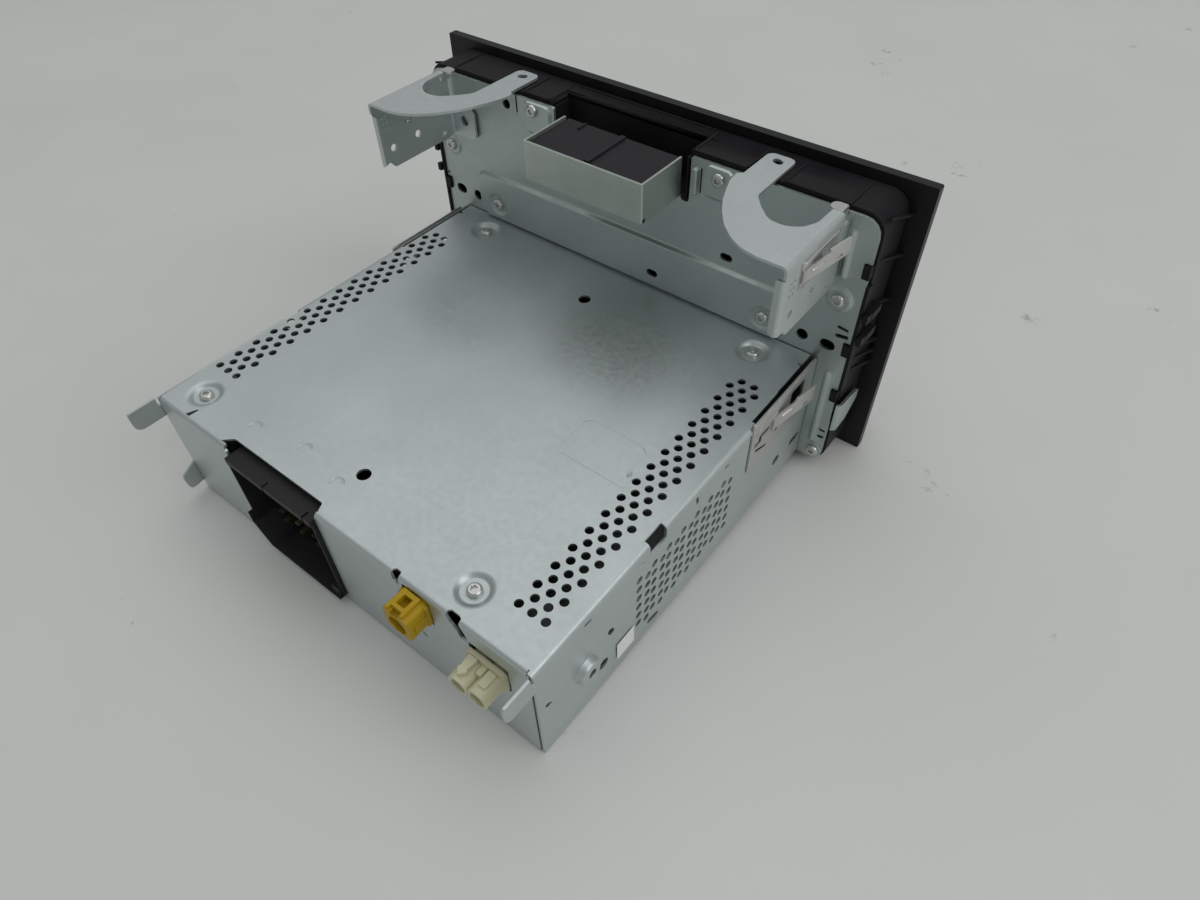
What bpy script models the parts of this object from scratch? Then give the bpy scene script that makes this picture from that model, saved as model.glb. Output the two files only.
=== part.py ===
# A car radio with a screen: a folded steel chassis behind a tall black front.
# Metres, +Z up, the front faces -Y. Pieces are drawn from the rear face of the
# steel front plate, and the assembly empty moves them so that the origin is the
# centre of the chassis underside.

import math

import bmesh
import bpy
from mathutils import Matrix, Vector

# Clearances and sheet
GAP = 0.0003                  # between pieces that touch
OVERRUN = 0.003               # how far a cutter runs past a face
WELD = 0.000001
SHEET = 0.001                 # steel of the chassis
BEND = 0.002                  # outer radius of a fold

# Disc, and the drive round it
DISC_RADIUS = 0.060
DISC_FRONT_ROOM = 0.003
DISC_LIFT = 0.010
DRIVE_FRONT = 0.003
DRIVE_FLOOR = 0.012
DRIVE_SIDE_ROOM = 0.013
DRIVE_END_ROOM = 0.007
DRIVE_WIDTH = 2 * (DISC_RADIUS + DRIVE_SIDE_ROOM)
DRIVE_DEPTH = 2 * DISC_RADIUS + DRIVE_END_ROOM
DISC_CENTRE = DRIVE_FRONT + DISC_FRONT_ROOM + DISC_RADIUS
DISC_LEVEL = DRIVE_FLOOR + DISC_LIFT

# Chassis, the standard single slot, with room beside and behind the drive
CHASSIS_SIDE_ROOM = 0.016
CHASSIS_REAR_ROOM = 0.029
CHASSIS_WIDTH = DRIVE_WIDTH + 2 * CHASSIS_SIDE_ROOM
CHASSIS_HEIGHT = 0.050
CHASSIS_DEPTH = DRIVE_FRONT + DRIVE_DEPTH + CHASSIS_REAR_ROOM
COVER_DROP = 0.006            # the cover's folded edge
BASE_RISE = 0.003

# Punched vents of the cover and of the right wall
VENT_RADIUS = 0.0015
VENT_COLUMN_STEP = 0.005
VENT_ROW_STEP = 0.008
LEFT_VENT_EDGE = 0.0045
LEFT_VENT_START = 0.027
LEFT_VENT_END = 0.018         # from the rear edge
RIGHT_VENT_EDGE = 0.008
RIGHT_VENT_START = 0.028
RIGHT_VENT_END = 0.010
WALL_VENT_START = 0.058
WALL_VENT_END = 0.043
WALL_VENT_LOW = 0.010
WALL_VENT_HIGH = 0.008        # from the top
LEFT_VENT_ROWS = int((CHASSIS_DEPTH - LEFT_VENT_START - LEFT_VENT_END) / VENT_ROW_STEP)
RIGHT_VENT_ROWS = int((CHASSIS_DEPTH - RIGHT_VENT_START - RIGHT_VENT_END) / VENT_ROW_STEP)
WALL_VENT_COLUMNS = int((CHASSIS_DEPTH - WALL_VENT_START - WALL_VENT_END) / VENT_ROW_STEP)
WALL_VENT_ROWS = int((CHASSIS_HEIGHT - WALL_VENT_LOW - WALL_VENT_HIGH) / VENT_COLUMN_STEP)

# Cover details, places as shares of the half width and of the depth
COVER_SCREW_SHARES = ((0.75, 0.07), (-0.764, 0.07), (0.85, 0.926), (-0.646, 0.931))
COVER_HOLE_SHARES = ((0.013, 0.151), (0.010, 0.871))
COVER_HOLE_RADIUS = 0.0025
DIMPLE_RADIUS = 0.0068
DIMPLE_FLOOR_RADIUS = 0.0044
DIMPLE_DEPTH = 0.0016
EDGE_NOTCH_SHARE = 0.61
EDGE_NOTCH_PLACE = CHASSIS_DEPTH * EDGE_NOTCH_SHARE
EDGE_NOTCH_LENGTH = 0.008

# Screws
SCREW_HEAD_RADIUS = 0.0029
SCREW_HEAD_HEIGHT = 0.0017
SCREW_CROWN = 0.0006
SCREW_SHANK_RADIUS = 0.0014
SCREW_SHANK_LENGTH = 0.005
SCREW_HOLE_RADIUS = 0.0018

# Rear tabs of the side walls
TAB_REACH = 0.0115
TAB_HEIGHT = 0.0085
TAB_CORNER = 0.0025
LOW_TAB_REACH = 0.0065
LOW_TAB_BASE = 0.004
LOW_TAB_RISE = 0.0118

# Details of the right wall
BOSS_INSET = 0.0215           # from the rear edge
BOSS_PLACE = CHASSIS_DEPTH - BOSS_INSET
BOSS_LEVEL = 0.0224
BOSS_RADIUS = 0.0045
BOSS_TIP_RADIUS = 0.003
BOSS_HEIGHT = 0.0028
BOSS_BORE = 0.0017
LABEL_INSET = 0.041
LABEL_PLACE = CHASSIS_DEPTH - LABEL_INSET
LABEL_LEVEL = 0.0105
LABEL_SIDE = 0.009
LABEL_THICKNESS = 0.0002
WALL_SLOT_LENGTH = 0.006
WALL_SLOT_WIDTH = 0.003
WALL_SLOT_SHARES = ((0.038, 0.24), (0.13, 0.24), (0.642, 0.13), (0.811, 0.25), (0.786, 0.535),
                    (0.97, 0.553))

# Connectors in the rear wall
HEADER_SIDE = 0.0018          # distance of the header's edge from the middle
HEADER_WIDTH = 0.0495
HEADER_BASE = 0.0034
HEADER_DROP = 0.0056          # below the cover
HEADER_HEIGHT = CHASSIS_HEIGHT - HEADER_BASE - HEADER_DROP
HEADER_DEPTH = 0.022
HEADER_PROUD = 0.003
HEADER_WALL = 0.0016
HEADER_BACK = 0.003
HEADER_SHELF_SHARE = 0.45
HEADER_FIT = 0.0004
NOTCH_DEPTH = 0.0045
BLADE_WIDTH = 0.0022
BLADE_HEIGHT = 0.0008
BLADE_LENGTH = 0.011
PIN_SIDE = 0.0007
RF_INSET = 0.0455             # from the chassis side
RF_DROP = 0.0138
RF_PLACE = RF_INSET - CHASSIS_WIDTH / 2
RF_WIDTH = 0.0108
RF_BASE = CHASSIS_HEIGHT - RF_DROP
RF_HEIGHT = 0.0108
RF_PROUD = 0.0085
RF_MOUTH = 0.0037
RF_MOUTH_DEPTH = 0.007
RF_KEY_WIDTH = 0.0046
RF_KEY_RISE = 0.0013
TWIN_INSET = 0.0175
TWIN_DROP = 0.0197
TWIN_PLACE = TWIN_INSET - CHASSIS_WIDTH / 2
TWIN_WIDTH = 0.0142
TWIN_BASE = CHASSIS_HEIGHT - TWIN_DROP
TWIN_HEIGHT = 0.0112
TWIN_PROUD = 0.0095
TWIN_STEP = 0.007
TWIN_MOUTH = 0.0026
TWIN_SPLIT = 0.0009
RF_ROOT = 0.0085              # length of an aerial socket inside the wall
RF_PIN_RADIUS = 0.0006

# Electronics inside the chassis
BOARD_THICKNESS = 0.0016
BOARD_LEVEL = 0.006
BOARD_MARGIN = 0.004
SPACER_RADIUS = 0.003
SPACER_SHARES = ((0.85, 0.06), (-0.85, 0.06), (0.85, 0.8), (-0.85, 0.8), (0.0, 0.45))
TUNER_WIDTH = 0.046
TUNER_FRONT_ROOM = 0.0032
TUNER_INSET = 0.0305
TUNER_DROP = 0.0086
TUNER_DEPTH = CHASSIS_REAR_ROOM - TUNER_FRONT_ROOM - RF_ROOT - GAP
TUNER_PLACE = TUNER_INSET - CHASSIS_WIDTH / 2
TUNER_HEIGHT = CHASSIS_HEIGHT - TUNER_DROP - BOARD_LEVEL - BOARD_THICKNESS - GAP
SINK_SIDE_ROOM = 0.003
SINK_HEADER_ROOM = 0.0047
SINK_REAR_ROOM = 0.005
SINK_DROP = 0.0091
SINK_LEFT = CHASSIS_WIDTH / 2 - SINK_SIDE_ROOM
SINK_WIDTH = SINK_LEFT - HEADER_SIDE - HEADER_WIDTH - SINK_HEADER_ROOM
SINK_DEPTH = CHASSIS_REAR_ROOM - SHEET - SINK_REAR_ROOM
SINK_HEIGHT = CHASSIS_HEIGHT - SINK_DROP - BOARD_LEVEL - BOARD_THICKNESS - GAP
SINK_BASE = 0.004
SINK_FIN = 0.0015
SINK_FINS = 6

# Inside the disc drive
DRIVE_DROP = 0.017            # below the cover
DRIVE_TOP = CHASSIS_HEIGHT - DRIVE_DROP
MOTOR_RADIUS = 0.010
LID_HOLE_RADIUS = 0.010
TABLE_RADIUS = 0.014
TABLE_THICKNESS = 0.002
TABLE_DROP = 0.0028           # below the disc
TABLE_LEVEL = DISC_LEVEL - TABLE_DROP
SPINDLE_RADIUS = 0.0015
SLED_WIDTH = 0.046
SLED_LENGTH = 0.012
SLED_START = 0.0155           # behind the disc's centre
SLED_PLACE = DISC_CENTRE + SLED_START
SLED_RISE = 0.0065
SLED_TOP = DRIVE_FLOOR + SLED_RISE
RAIL_RADIUS = 0.0014
RAIL_RISE = 0.0029
RAIL_LEVEL = DRIVE_FLOOR + RAIL_RISE
RAIL_SPREAD = 0.036
ROLLER_RADIUS = 0.0027
ROLLER_JOURNAL = 0.0012
ROLLER_INSET = 0.005          # from the drive's front edge
ROLLER_DROP = 0.0057          # below the disc
ROLLER_END = 0.006            # journal beyond the rubber
ROLLER_PLACE = DRIVE_FRONT + ROLLER_INSET
ROLLER_LEVEL = DISC_LEVEL - ROLLER_DROP
ROLLER_REACH = DISC_RADIUS + ROLLER_END
BEARING_LENGTH = 0.006
BEARING_ROOM = 0.0025         # between the rubber and the bearing
BEARING_RISE = 0.0025
BEARING_INSET = DISC_RADIUS + BEARING_ROOM
BEARING_TOP = ROLLER_LEVEL + BEARING_RISE

# Front plate
PLATE_EDGE = 0.0115           # beyond the chassis side
PLATE_WIDTH = CHASSIS_WIDTH + 2 * PLATE_EDGE
PLATE_HEIGHT = 0.110
PLATE_SHEET = 0.0012
PLATE_LOW_CORNER = 0.0055
PLATE_TOP_CORNER = 0.003
BAND_START = 0.0008           # above the chassis
BAND_HEIGHT_SHARE = 0.333     # of the plate above it
BAND_SPAN_SHARES = (-0.6766, 0.7761)
BAND_LOW = CHASSIS_HEIGHT + BAND_START
BAND_HIGH = BAND_LOW + (PLATE_HEIGHT - BAND_LOW) * BAND_HEIGHT_SHARE
BAND_RIGHT = PLATE_WIDTH / 2 * BAND_SPAN_SHARES[0]
BAND_LEFT = PLATE_WIDTH / 2 * BAND_SPAN_SHARES[1]
BAND_RISE = 0.002
BAND_SLOPE = 0.0012
PLATE_SCREW_SHARES = ((0.915, 0.709), (-0.910, 0.704), (0.428, 0.962), (-0.408, 0.955),
                      (-0.951, 0.043), (0.951, 0.043))
BAND_SCREW_RISE = 0.0072
BAND_SCREW_LEVEL_SHARE = (BAND_LOW + BAND_SCREW_RISE) / PLATE_HEIGHT
BAND_SCREW_SHARES = ((0.667, BAND_SCREW_LEVEL_SHARE), (-0.647, BAND_SCREW_LEVEL_SHARE))
PLATE_HOLE_SHARES = ((0.806, 0.518), (-0.806, 0.518), (0.905, 0.518), (-0.905, 0.518), (0.572, 0.95))
PLATE_HOLE_RADIUS = 0.0023
PLATE_SLOT_SHARES = ((-0.155, 0.511), (-0.464, 0.688))
PLATE_SLOT_LENGTH = 0.0052
PLATE_SLOT_WIDTH = 0.003
CLIP_LEVEL_SHARES = (0.327, 0.527, 0.827)
CLIP_HEIGHT = 0.005
CLIP_DEPTH = 0.003
CLIP_PROUD = 0.0012
LUG_LEVEL_SHARE = 0.1955
LUG_LEVEL = PLATE_HEIGHT * LUG_LEVEL_SHARE
LUG_HEIGHT = 0.0095
LUG_REACH = 0.0145
LUG_THICKNESS = 0.0011
LUG_TAPER = 0.003

# Box on the back of the front plate
REAR_BOX_PLACE = 0.0008
REAR_BOX_WIDTH = 0.053
REAR_BOX_DEPTH = 0.0243
REAR_BOX_HEIGHT = 0.015
REAR_BOX_DROP = 0.0015        # below the plate's top edge
REAR_BOX_TOP = PLATE_HEIGHT - REAR_BOX_DROP
REAR_BOX_BASE = REAR_BOX_TOP - REAR_BOX_HEIGHT
REAR_BOX_SHEET = 0.001
INSERT_DROP = 0.0014
INSERT_FORWARD = 0.010
INSERT_RIB_WIDTH = 0.0025
INSERT_RIB_RISE = 0.0006
BOX_CLEARANCE = 0.003

# Half-moon brackets
HOUSING_RISE = 0.0008         # of the housing, above the plate
HOUSING_TOP = PLATE_HEIGHT + HOUSING_RISE
BRACKET_TOP = HOUSING_TOP + GAP + SHEET
BRACKET_HEIGHT = 0.0281
BRACKET_SPAN = 0.0378         # from the chassis side to the tab's inner edge
BRACKET_TAB_INNER = CHASSIS_WIDTH / 2 - BRACKET_SPAN
BRACKET_TAB_WIDTH = 0.0104
BRACKET_TAB_REACH = 0.014
BRACKET_REAR = 0.0418
BRACKET_BASE = BRACKET_TOP - BRACKET_HEIGHT
BRACKET_FRONT = 0.0005
MOON_STRIP = 0.0045
MOON_DEPTH = 0.0235
MOON_START = 0.0115
MOON_OUTER_START = 0.006
MOON_OUTER_FLAT = 0.009
BRACKET_HOLE = 0.0018
BRACKET_FLANGE_WIDTH = 0.0135
BRACKET_FLANGE_HEIGHT = 0.014
BRACKET_STEP = 0.002
BRACKET_STEP_HEIGHT = 0.014
REAR_FLANGE_WIDTH = 0.0045
REAR_FLANGE_DROP = 0.0051
REAR_FLANGE_HIGH = BRACKET_TOP - REAR_FLANGE_DROP

# Spring clips of the sides
CLIP_PLATE_SHEET = 0.0006
LOW_CLIP_START = 0.004
LOW_CLIP_END = 0.046
LOW_CLIP_HEIGHT = 0.025
LOW_CLIP_RISE = 0.002         # above the cover
LOW_CLIP_TOP = CHASSIS_HEIGHT + LOW_CLIP_RISE
LOW_CLIP_BASE = LOW_CLIP_TOP - LOW_CLIP_HEIGHT
HIGH_CLIP_START = 0.008
HIGH_CLIP_END = 0.034
HIGH_CLIP_HEIGHT = 0.021
HIGH_CLIP_DROP = 0.0031       # below the bracket's top
HIGH_CLIP_TOP = BRACKET_TOP - HIGH_CLIP_DROP
HIGH_CLIP_BASE = HIGH_CLIP_TOP - HIGH_CLIP_HEIGHT
TONGUE_SHEET = 0.0007
TONGUE_ROOT = 0.0285
TONGUE_FOOT = 0.0035
TONGUE_TIP = 0.008
TONGUE_LIFT = 0.0038
TONGUE_HEIGHT = 0.008
LOW_TONGUE_DROP = 0.0145      # from the top of each clip plate
HIGH_TONGUE_DROP = 0.0085
LOW_TONGUE_BASE = LOW_CLIP_TOP - LOW_TONGUE_DROP
HIGH_TONGUE_BASE = HIGH_CLIP_TOP - HIGH_TONGUE_DROP

# Moulded housing behind the front panel
HOUSING_INSET = 0.0005        # from the plate's side edges
HOUSING_WIDTH = PLATE_WIDTH - 2 * HOUSING_INSET
HOUSING_BASE = -0.0015
HOUSING_DEPTH = 0.0185
HOUSING_WALL = 0.0024
HOUSING_CORNER = 0.007
GROOVE_WIDTH = 0.0012
GROOVE_DEPTH = 0.001
GROOVE_SHARES = (-0.92, -0.87, -0.62, -0.30, 0.45, 0.78, 0.88, 0.93)
RECESS_SPAN_SHARES = (-0.28, 0.36)
RECESS_DEPTH = 0.0105
HOOK_LEVELS_SHARES = (0.582, 0.668)
HOOK_HEIGHT = 0.0036
HOOK_REACH = 0.0034
HOOK_LENGTH = 0.0085
HOOK_PROUD = 0.002
RIB_SHARES = (0.36, 0.47, 0.7)
RIB_HEIGHT = 0.0012
RIB_REACH = 0.003
RIB_FALL = 0.004

# Front panel
FASCIA_SIDE_EDGE = 0.0075     # beyond the housing
FASCIA_LOW_EDGE = 0.0031
FASCIA_TOP_EDGE = 0.0034
FASCIA_WIDTH = HOUSING_WIDTH + 2 * FASCIA_SIDE_EDGE
FASCIA_BASE = HOUSING_BASE - FASCIA_LOW_EDGE
FASCIA_TOP = HOUSING_TOP + FASCIA_TOP_EDGE
FASCIA_THICKNESS = 0.0037
FASCIA_CORNER = 0.0018
FASCIA_EDGE = 0.0008
SCREEN_SIDE_EDGE = 0.030      # from the housing's outside
SCREEN_TOP_EDGE = 0.0028
SCREEN_WIDTH = HOUSING_WIDTH - 2 * SCREEN_SIDE_EDGE
SCREEN_LOW = 0.035
SCREEN_HIGH = HOUSING_TOP - SCREEN_TOP_EDGE
SCREEN_CORNER = 0.002
SCREEN_INSET = 0.0004
PANEL_MARGIN = 0.002
DISC_SLOT_ROOM = 0.0055
SLOT_WIDTH = 2 * DISC_RADIUS + DISC_SLOT_ROOM
SLOT_HEIGHT = 0.0072
CHUTE_WALL = 0.0014
CHUTE_FIT = 0.0006
FRONT_BOARD_SETBACK = 0.0058  # from the housing's front edge

# Keys, four rows on each side of the screen
KEY_ROWS = 4
KEY_SCREEN_ROOM = 0.0043
KEY_SIDE_ROOM = 0.0047        # from the housing's outside
KEY_LOW_ROOM = 0.004          # from the screen's edges
KEY_HIGH_ROOM = 0.0055
KEY_ROW_ROOM = 0.0025
KEY_WIDTH = SCREEN_SIDE_EDGE - KEY_SCREEN_ROOM - KEY_SIDE_ROOM
KEY_PLACE = HOUSING_WIDTH / 2 - KEY_SIDE_ROOM - KEY_WIDTH / 2
KEY_BAY = SCREEN_HIGH - KEY_HIGH_ROOM - SCREEN_LOW - KEY_LOW_ROOM
KEY_HEIGHT = (KEY_BAY + KEY_ROW_ROOM) / KEY_ROWS - KEY_ROW_ROOM
KEY_STEP = KEY_HEIGHT + KEY_ROW_ROOM
KEY_FIRST = SCREEN_LOW + KEY_LOW_ROOM + KEY_HEIGHT / 2
KEY_PROUD = 0.0014
KEY_LIP = 0.001
KEY_LIP_THICKNESS = 0.0015
KEY_STEM = 0.006
KEY_STEM_LENGTH = 0.0025
KEY_TRAVEL = 0.0008
EJECT_WIDTH = 0.016
EJECT_HEIGHT = 0.0055
EJECT_LEVEL = 0.0095
SWITCH_SIDE = 0.006
SWITCH_SETBACK = 0.0003
REMOVAL_SLOT_WIDTH = 0.0012
REMOVAL_SLOT_HEIGHT = 0.005
REMOVAL_SLOT_INSET = 0.0075   # from the housing's outside
REMOVAL_SLOT_LOW_DROP = 0.0007    # below the screen's edges
REMOVAL_SLOT_HIGH_DROP = 0.0012
REMOVAL_SLOT_PLACE = HOUSING_WIDTH / 2 - REMOVAL_SLOT_INSET
REMOVAL_SLOT_LEVELS = (SCREEN_LOW - REMOVAL_SLOT_LOW_DROP, SCREEN_HIGH - REMOVAL_SLOT_HIGH_DROP)

# Turning controls
KNOB_INSET = 0.0115           # from the housing's outside
KNOB_PLACE = HOUSING_WIDTH / 2 - KNOB_INSET
KNOB_LEVEL = 0.0125
KNOB_RADIUS = 0.0125
KNOB_LENGTH = 0.012
KNOB_WALL = 0.0014
KNOB_CHAMFER = 0.0012
KNOB_SETOFF = 0.001
KNOB_HUB = 0.0052
KNOB_CAP = 0.0028
KNOB_SIDES = 24
SHAFT_RADIUS = 0.003
SHAFT_CLEARANCE = 0.0004
PUSH_TRAVEL = 0.0005
ENCODER_SIDE = 0.0125
SHAFT_SEAT = 0.0038

# Ribbon between the boards
RIBBON_WIDTH = 0.024
RIBBON_THICKNESS = 0.0004
RIBBON_LENGTH = 0.022

PLATE_FRONT = -PLATE_SHEET
HOUSING_REAR = PLATE_FRONT - GAP
HOUSING_FRONT = HOUSING_REAR - HOUSING_DEPTH
FASCIA_REAR = HOUSING_FRONT - GAP
FASCIA_FRONT = FASCIA_REAR - FASCIA_THICKNESS
INNER_HALF = HOUSING_WIDTH / 2 - HOUSING_WALL
INNER_LOW = HOUSING_BASE + HOUSING_WALL
INNER_HIGH = HOUSING_TOP - HOUSING_WALL
FRONT_BOARD_FACE = HOUSING_FRONT + FRONT_BOARD_SETBACK
CHUTE_OUTER_HALF = SLOT_WIDTH / 2 + CHUTE_WALL
CHUTE_LOW = DISC_LEVEL - SLOT_HEIGHT / 2 - CHUTE_WALL
CHUTE_HIGH = DISC_LEVEL + SLOT_HEIGHT / 2 + CHUTE_WALL

PLANES = {
    "XY": Matrix(((1, 0, 0, 0), (0, 1, 0, 0), (0, 0, 1, 0), (0, 0, 0, 1))),
    "XZ": Matrix(((1, 0, 0, 0), (0, 0, 1, 0), (0, 1, 0, 0), (0, 0, 0, 1))),
    "YZ": Matrix(((0, 0, 1, 0), (1, 0, 0, 0), (0, 1, 0, 0), (0, 0, 0, 1))),
}
AXES = {
    "X": Matrix.Rotation(math.radians(90), 4, "Y"),
    "Y": Matrix.Rotation(math.radians(-90), 4, "X"),
    "Z": Matrix.Identity(4),
}


# Scene and materials

def clear_scene():
    for old in list(bpy.data.objects):
        bpy.data.objects.remove(old, do_unlink=True)


def new_collection(name):
    collection = bpy.data.collections.new(name)
    bpy.context.scene.collection.children.link(collection)
    return collection


def finish(name, colour, roughness, metallic=0.0, alpha=1.0):
    material = bpy.data.materials.new(name)
    material.use_nodes = True
    shader = material.node_tree.nodes["Principled BSDF"]
    shader.inputs["Base Color"].default_value = (*colour, 1.0)
    shader.inputs["Roughness"].default_value = roughness
    shader.inputs["Metallic"].default_value = metallic
    shader.inputs["Alpha"].default_value = alpha
    material.diffuse_color = (*colour, alpha)
    return material


clear_scene()
PARTS = new_collection("car_radio")
CUTTERS = new_collection("cutters")
ASSEMBLY = bpy.data.objects.new("car_radio_assembly", None)
ASSEMBLY.location = (0, -CHASSIS_DEPTH / 2, 0)
PARTS.objects.link(ASSEMBLY)

ZINC = finish("zinc_steel", (0.56, 0.59, 0.60), 0.42, 0.85)
BRIGHT = finish("bright_steel", (0.68, 0.68, 0.67), 0.3, 0.95)
BLACK = finish("black_plastic", (0.022, 0.021, 0.024), 0.55)
SATIN = finish("satin_panel", (0.018, 0.018, 0.020), 0.4)
YELLOW = finish("ochre_plastic", (0.62, 0.36, 0.02), 0.45)
CREAM = finish("cream_plastic", (0.72, 0.70, 0.56), 0.45)
GREEN = finish("board_green", (0.02, 0.12, 0.06), 0.5)
GLASS = finish("screen_glass", (0.01, 0.01, 0.012), 0.08)
ALUMINIUM = finish("aluminium", (0.75, 0.76, 0.77), 0.4, 0.9)
RUBBER = finish("rubber", (0.05, 0.05, 0.05), 0.8)
PAPER = finish("blank_label", (0.82, 0.82, 0.80), 0.6)


# Building tools

def attach(name, mesh, material, collection=PARTS):
    piece = bpy.data.objects.new(name, mesh)
    collection.objects.link(piece)
    piece.parent = ASSEMBLY
    if material:
        mesh.materials.append(material)
    return piece


def from_bmesh(name, bm, material):
    mesh = bpy.data.meshes.new(name)
    bm.to_mesh(mesh)
    bm.free()
    return attach(name, mesh, material)


def tool(name, bm):
    piece = from_bmesh(name, bm, None)
    PARTS.objects.unlink(piece)
    CUTTERS.objects.link(piece)
    piece.hide_render = True
    piece.display_type = "WIRE"
    return piece


def boolean(piece, name, bm, operation="DIFFERENCE", crossing=False):
    # crossing: the tool's own blocks run into each other
    modifier = piece.modifiers.new(name, "BOOLEAN")
    modifier.object = tool(piece.name + "_" + name, bm)
    modifier.operation = operation
    modifier.solver = "EXACT"
    modifier.use_self = crossing


def move_origin(piece, point):
    piece.data.transform(Matrix.Translation(-Vector(point)))
    piece.location = point


def smooth(piece, degrees=35):
    piece.data.shade_smooth()
    piece.data.set_sharp_from_angle(angle=math.radians(degrees))


def block(bm, low, high):
    low, high = Vector(low), Vector(high)
    size = high - low
    place = Matrix.Translation((low + high) / 2) @ Matrix.Diagonal((size.x, size.y, size.z, 1))
    return bmesh.ops.create_cube(bm, size=1, matrix=place)["verts"]


def blocks(*corners):
    bm = bmesh.new()
    for low, high in corners:
        block(bm, low, high)
    return bm


def mirrored(low, high, side):
    # The same block on the side +1 or -1 of the middle plane
    xs = sorted((low[0] * side, high[0] * side))
    return (xs[0], low[1], low[2]), (xs[1], high[1], high[2])


def rod(bm, centre, axis, radius, length, sides=12, tip_radius=None):
    # A cylinder or frustum about its centre; the tip is at the + end of the axis
    tip = radius if tip_radius is None else tip_radius
    place = Matrix.Translation(centre) @ AXES[axis]
    made = bmesh.ops.create_cone(bm, cap_ends=True, segments=sides, radius1=radius,
                                 radius2=tip, depth=length, matrix=place)
    return made["verts"]


def arc(centre, radii, start, end, steps):
    points = []
    for step in range(steps + 1):
        angle = math.radians(start + (end - start) * step / steps)
        points.append((centre[0] + radii[0] * math.cos(angle),
                       centre[1] + radii[1] * math.sin(angle)))
    return points


def circle(centre, radius, sides, turn=0.0):
    return arc(centre, (radius, radius), turn, turn + 360 * (sides - 1) / sides, sides - 1)


def rectangle(left, right, low, high):
    return [(left, low), (right, low), (right, high), (left, high)]


def rounded(left, right, low, high, radius, steps=4):
    points = []
    corners = ((right - radius, low + radius, -90), (right - radius, high - radius, 0),
               (left + radius, high - radius, 90), (left + radius, low + radius, 180))
    for x, z, start in corners:
        points += arc((x, z), (radius, radius), start, start + 90, steps)
    return points


def slot(centre, length, width, steps=4):
    reach = (length - width) / 2
    radius = width / 2
    return (arc((centre[0] + reach, centre[1]), (radius, radius), -90, 90, steps)
            + arc((centre[0] - reach, centre[1]), (radius, radius), 90, 270, steps))


def extruded(outlines, thickness, plane, start):
    # A flat outline with its holes, as a filled 2D curve made into a mesh
    curve = bpy.data.curves.new("outline", "CURVE")
    curve.dimensions = "2D"
    curve.fill_mode = "BOTH"
    curve.extrude = thickness / 2
    for outline in outlines:
        spline = curve.splines.new("POLY")
        spline.points.add(len(outline) - 1)
        for point, (u, v) in zip(spline.points, outline):
            point.co = (u, v, 0, 1)
        spline.use_cyclic_u = True
    drawn = bpy.data.objects.new("outline", curve)
    bpy.context.scene.collection.objects.link(drawn)
    bpy.context.view_layer.update()
    evaluated = drawn.evaluated_get(bpy.context.evaluated_depsgraph_get())
    mesh = bpy.data.meshes.new_from_object(evaluated)
    bpy.data.objects.remove(drawn, do_unlink=True)
    bpy.data.curves.remove(curve)
    bm = bmesh.new()
    bm.from_mesh(mesh)
    bpy.data.meshes.remove(mesh)
    bmesh.ops.remove_doubles(bm, verts=bm.verts, dist=WELD)
    lift = Matrix.Translation((0, 0, start + thickness / 2))
    bmesh.ops.transform(bm, matrix=PLANES[plane] @ lift, verts=bm.verts)
    bmesh.ops.recalc_face_normals(bm, faces=bm.faces)
    return bm


def sheet(name, outlines, thickness, plane, start, material):
    return from_bmesh(name, extruded(outlines, thickness, plane, start), material)


def turned(name, profile, material, axis, centre, steps=24):
    # A profile of (radius, height) points, top to bottom, turned by a Screw modifier
    mesh = bpy.data.meshes.new(name)
    edges = [(i, i + 1) for i in range(len(profile) - 1)]
    mesh.from_pydata([(r, 0, h) for r, h in profile], edges, [])
    piece = attach(name, mesh, material)
    piece.location = centre
    piece.rotation_euler = AXES[axis].to_euler()
    screw = piece.modifiers.new("turn", "SCREW")
    screw.axis = "Z"
    screw.angle = math.radians(360)
    screw.steps = steps
    screw.render_steps = steps
    screw.use_merge_vertices = True
    screw.merge_threshold = WELD
    screw.use_smooth_shade = True
    return piece


def grow(bm, face, inset, length):
    # Steps a block: its face is inset and drawn out along its normal
    if inset:
        bmesh.ops.inset_region(bm, faces=[face], thickness=inset, use_even_offset=True)
    normal = face.normal.copy()
    made = bmesh.ops.extrude_face_region(bm, geom=[face])["geom"]
    moved = [v for v in made if isinstance(v, bmesh.types.BMVert)]
    bmesh.ops.delete(bm, geom=[face], context="FACES_ONLY")
    bmesh.ops.translate(bm, verts=moved, vec=normal * length)
    return next(f for f in made if isinstance(f, bmesh.types.BMFace))


def facing(bm, direction):
    # The single face of a block that looks along a direction
    bm.normal_update()
    return max(bm.faces, key=lambda f: f.normal.dot(Vector(direction)))


# Chassis

def channel(width, drop):
    # Section of a folded cover: flat top at height 0, edges folded down
    half = width / 2
    inner = BEND - SHEET
    turn_left, turn_right = (half - BEND, -BEND), (-half + BEND, -BEND)
    return ([(-half, -drop)]
            + arc(turn_right, (BEND, BEND), 180, 90, 4)
            + arc(turn_left, (BEND, BEND), 90, 0, 4)
            + [(half, -drop), (half - SHEET, -drop)]
            + arc(turn_left, (inner, inner), 0, 90, 2)
            + arc(turn_right, (inner, inner), 90, 180, 2)
            + [(-half + SHEET, -drop)])


def vent_columns(edge, side):
    # Five staggered columns: three in the longer rows, two between them
    first = CHASSIS_WIDTH / 2 - edge
    longer = [side * (first - VENT_COLUMN_STEP * i) for i in range(3)]
    shorter = [side * (first - VENT_COLUMN_STEP * i - VENT_COLUMN_STEP / 2) for i in range(2)]
    return longer, shorter


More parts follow.
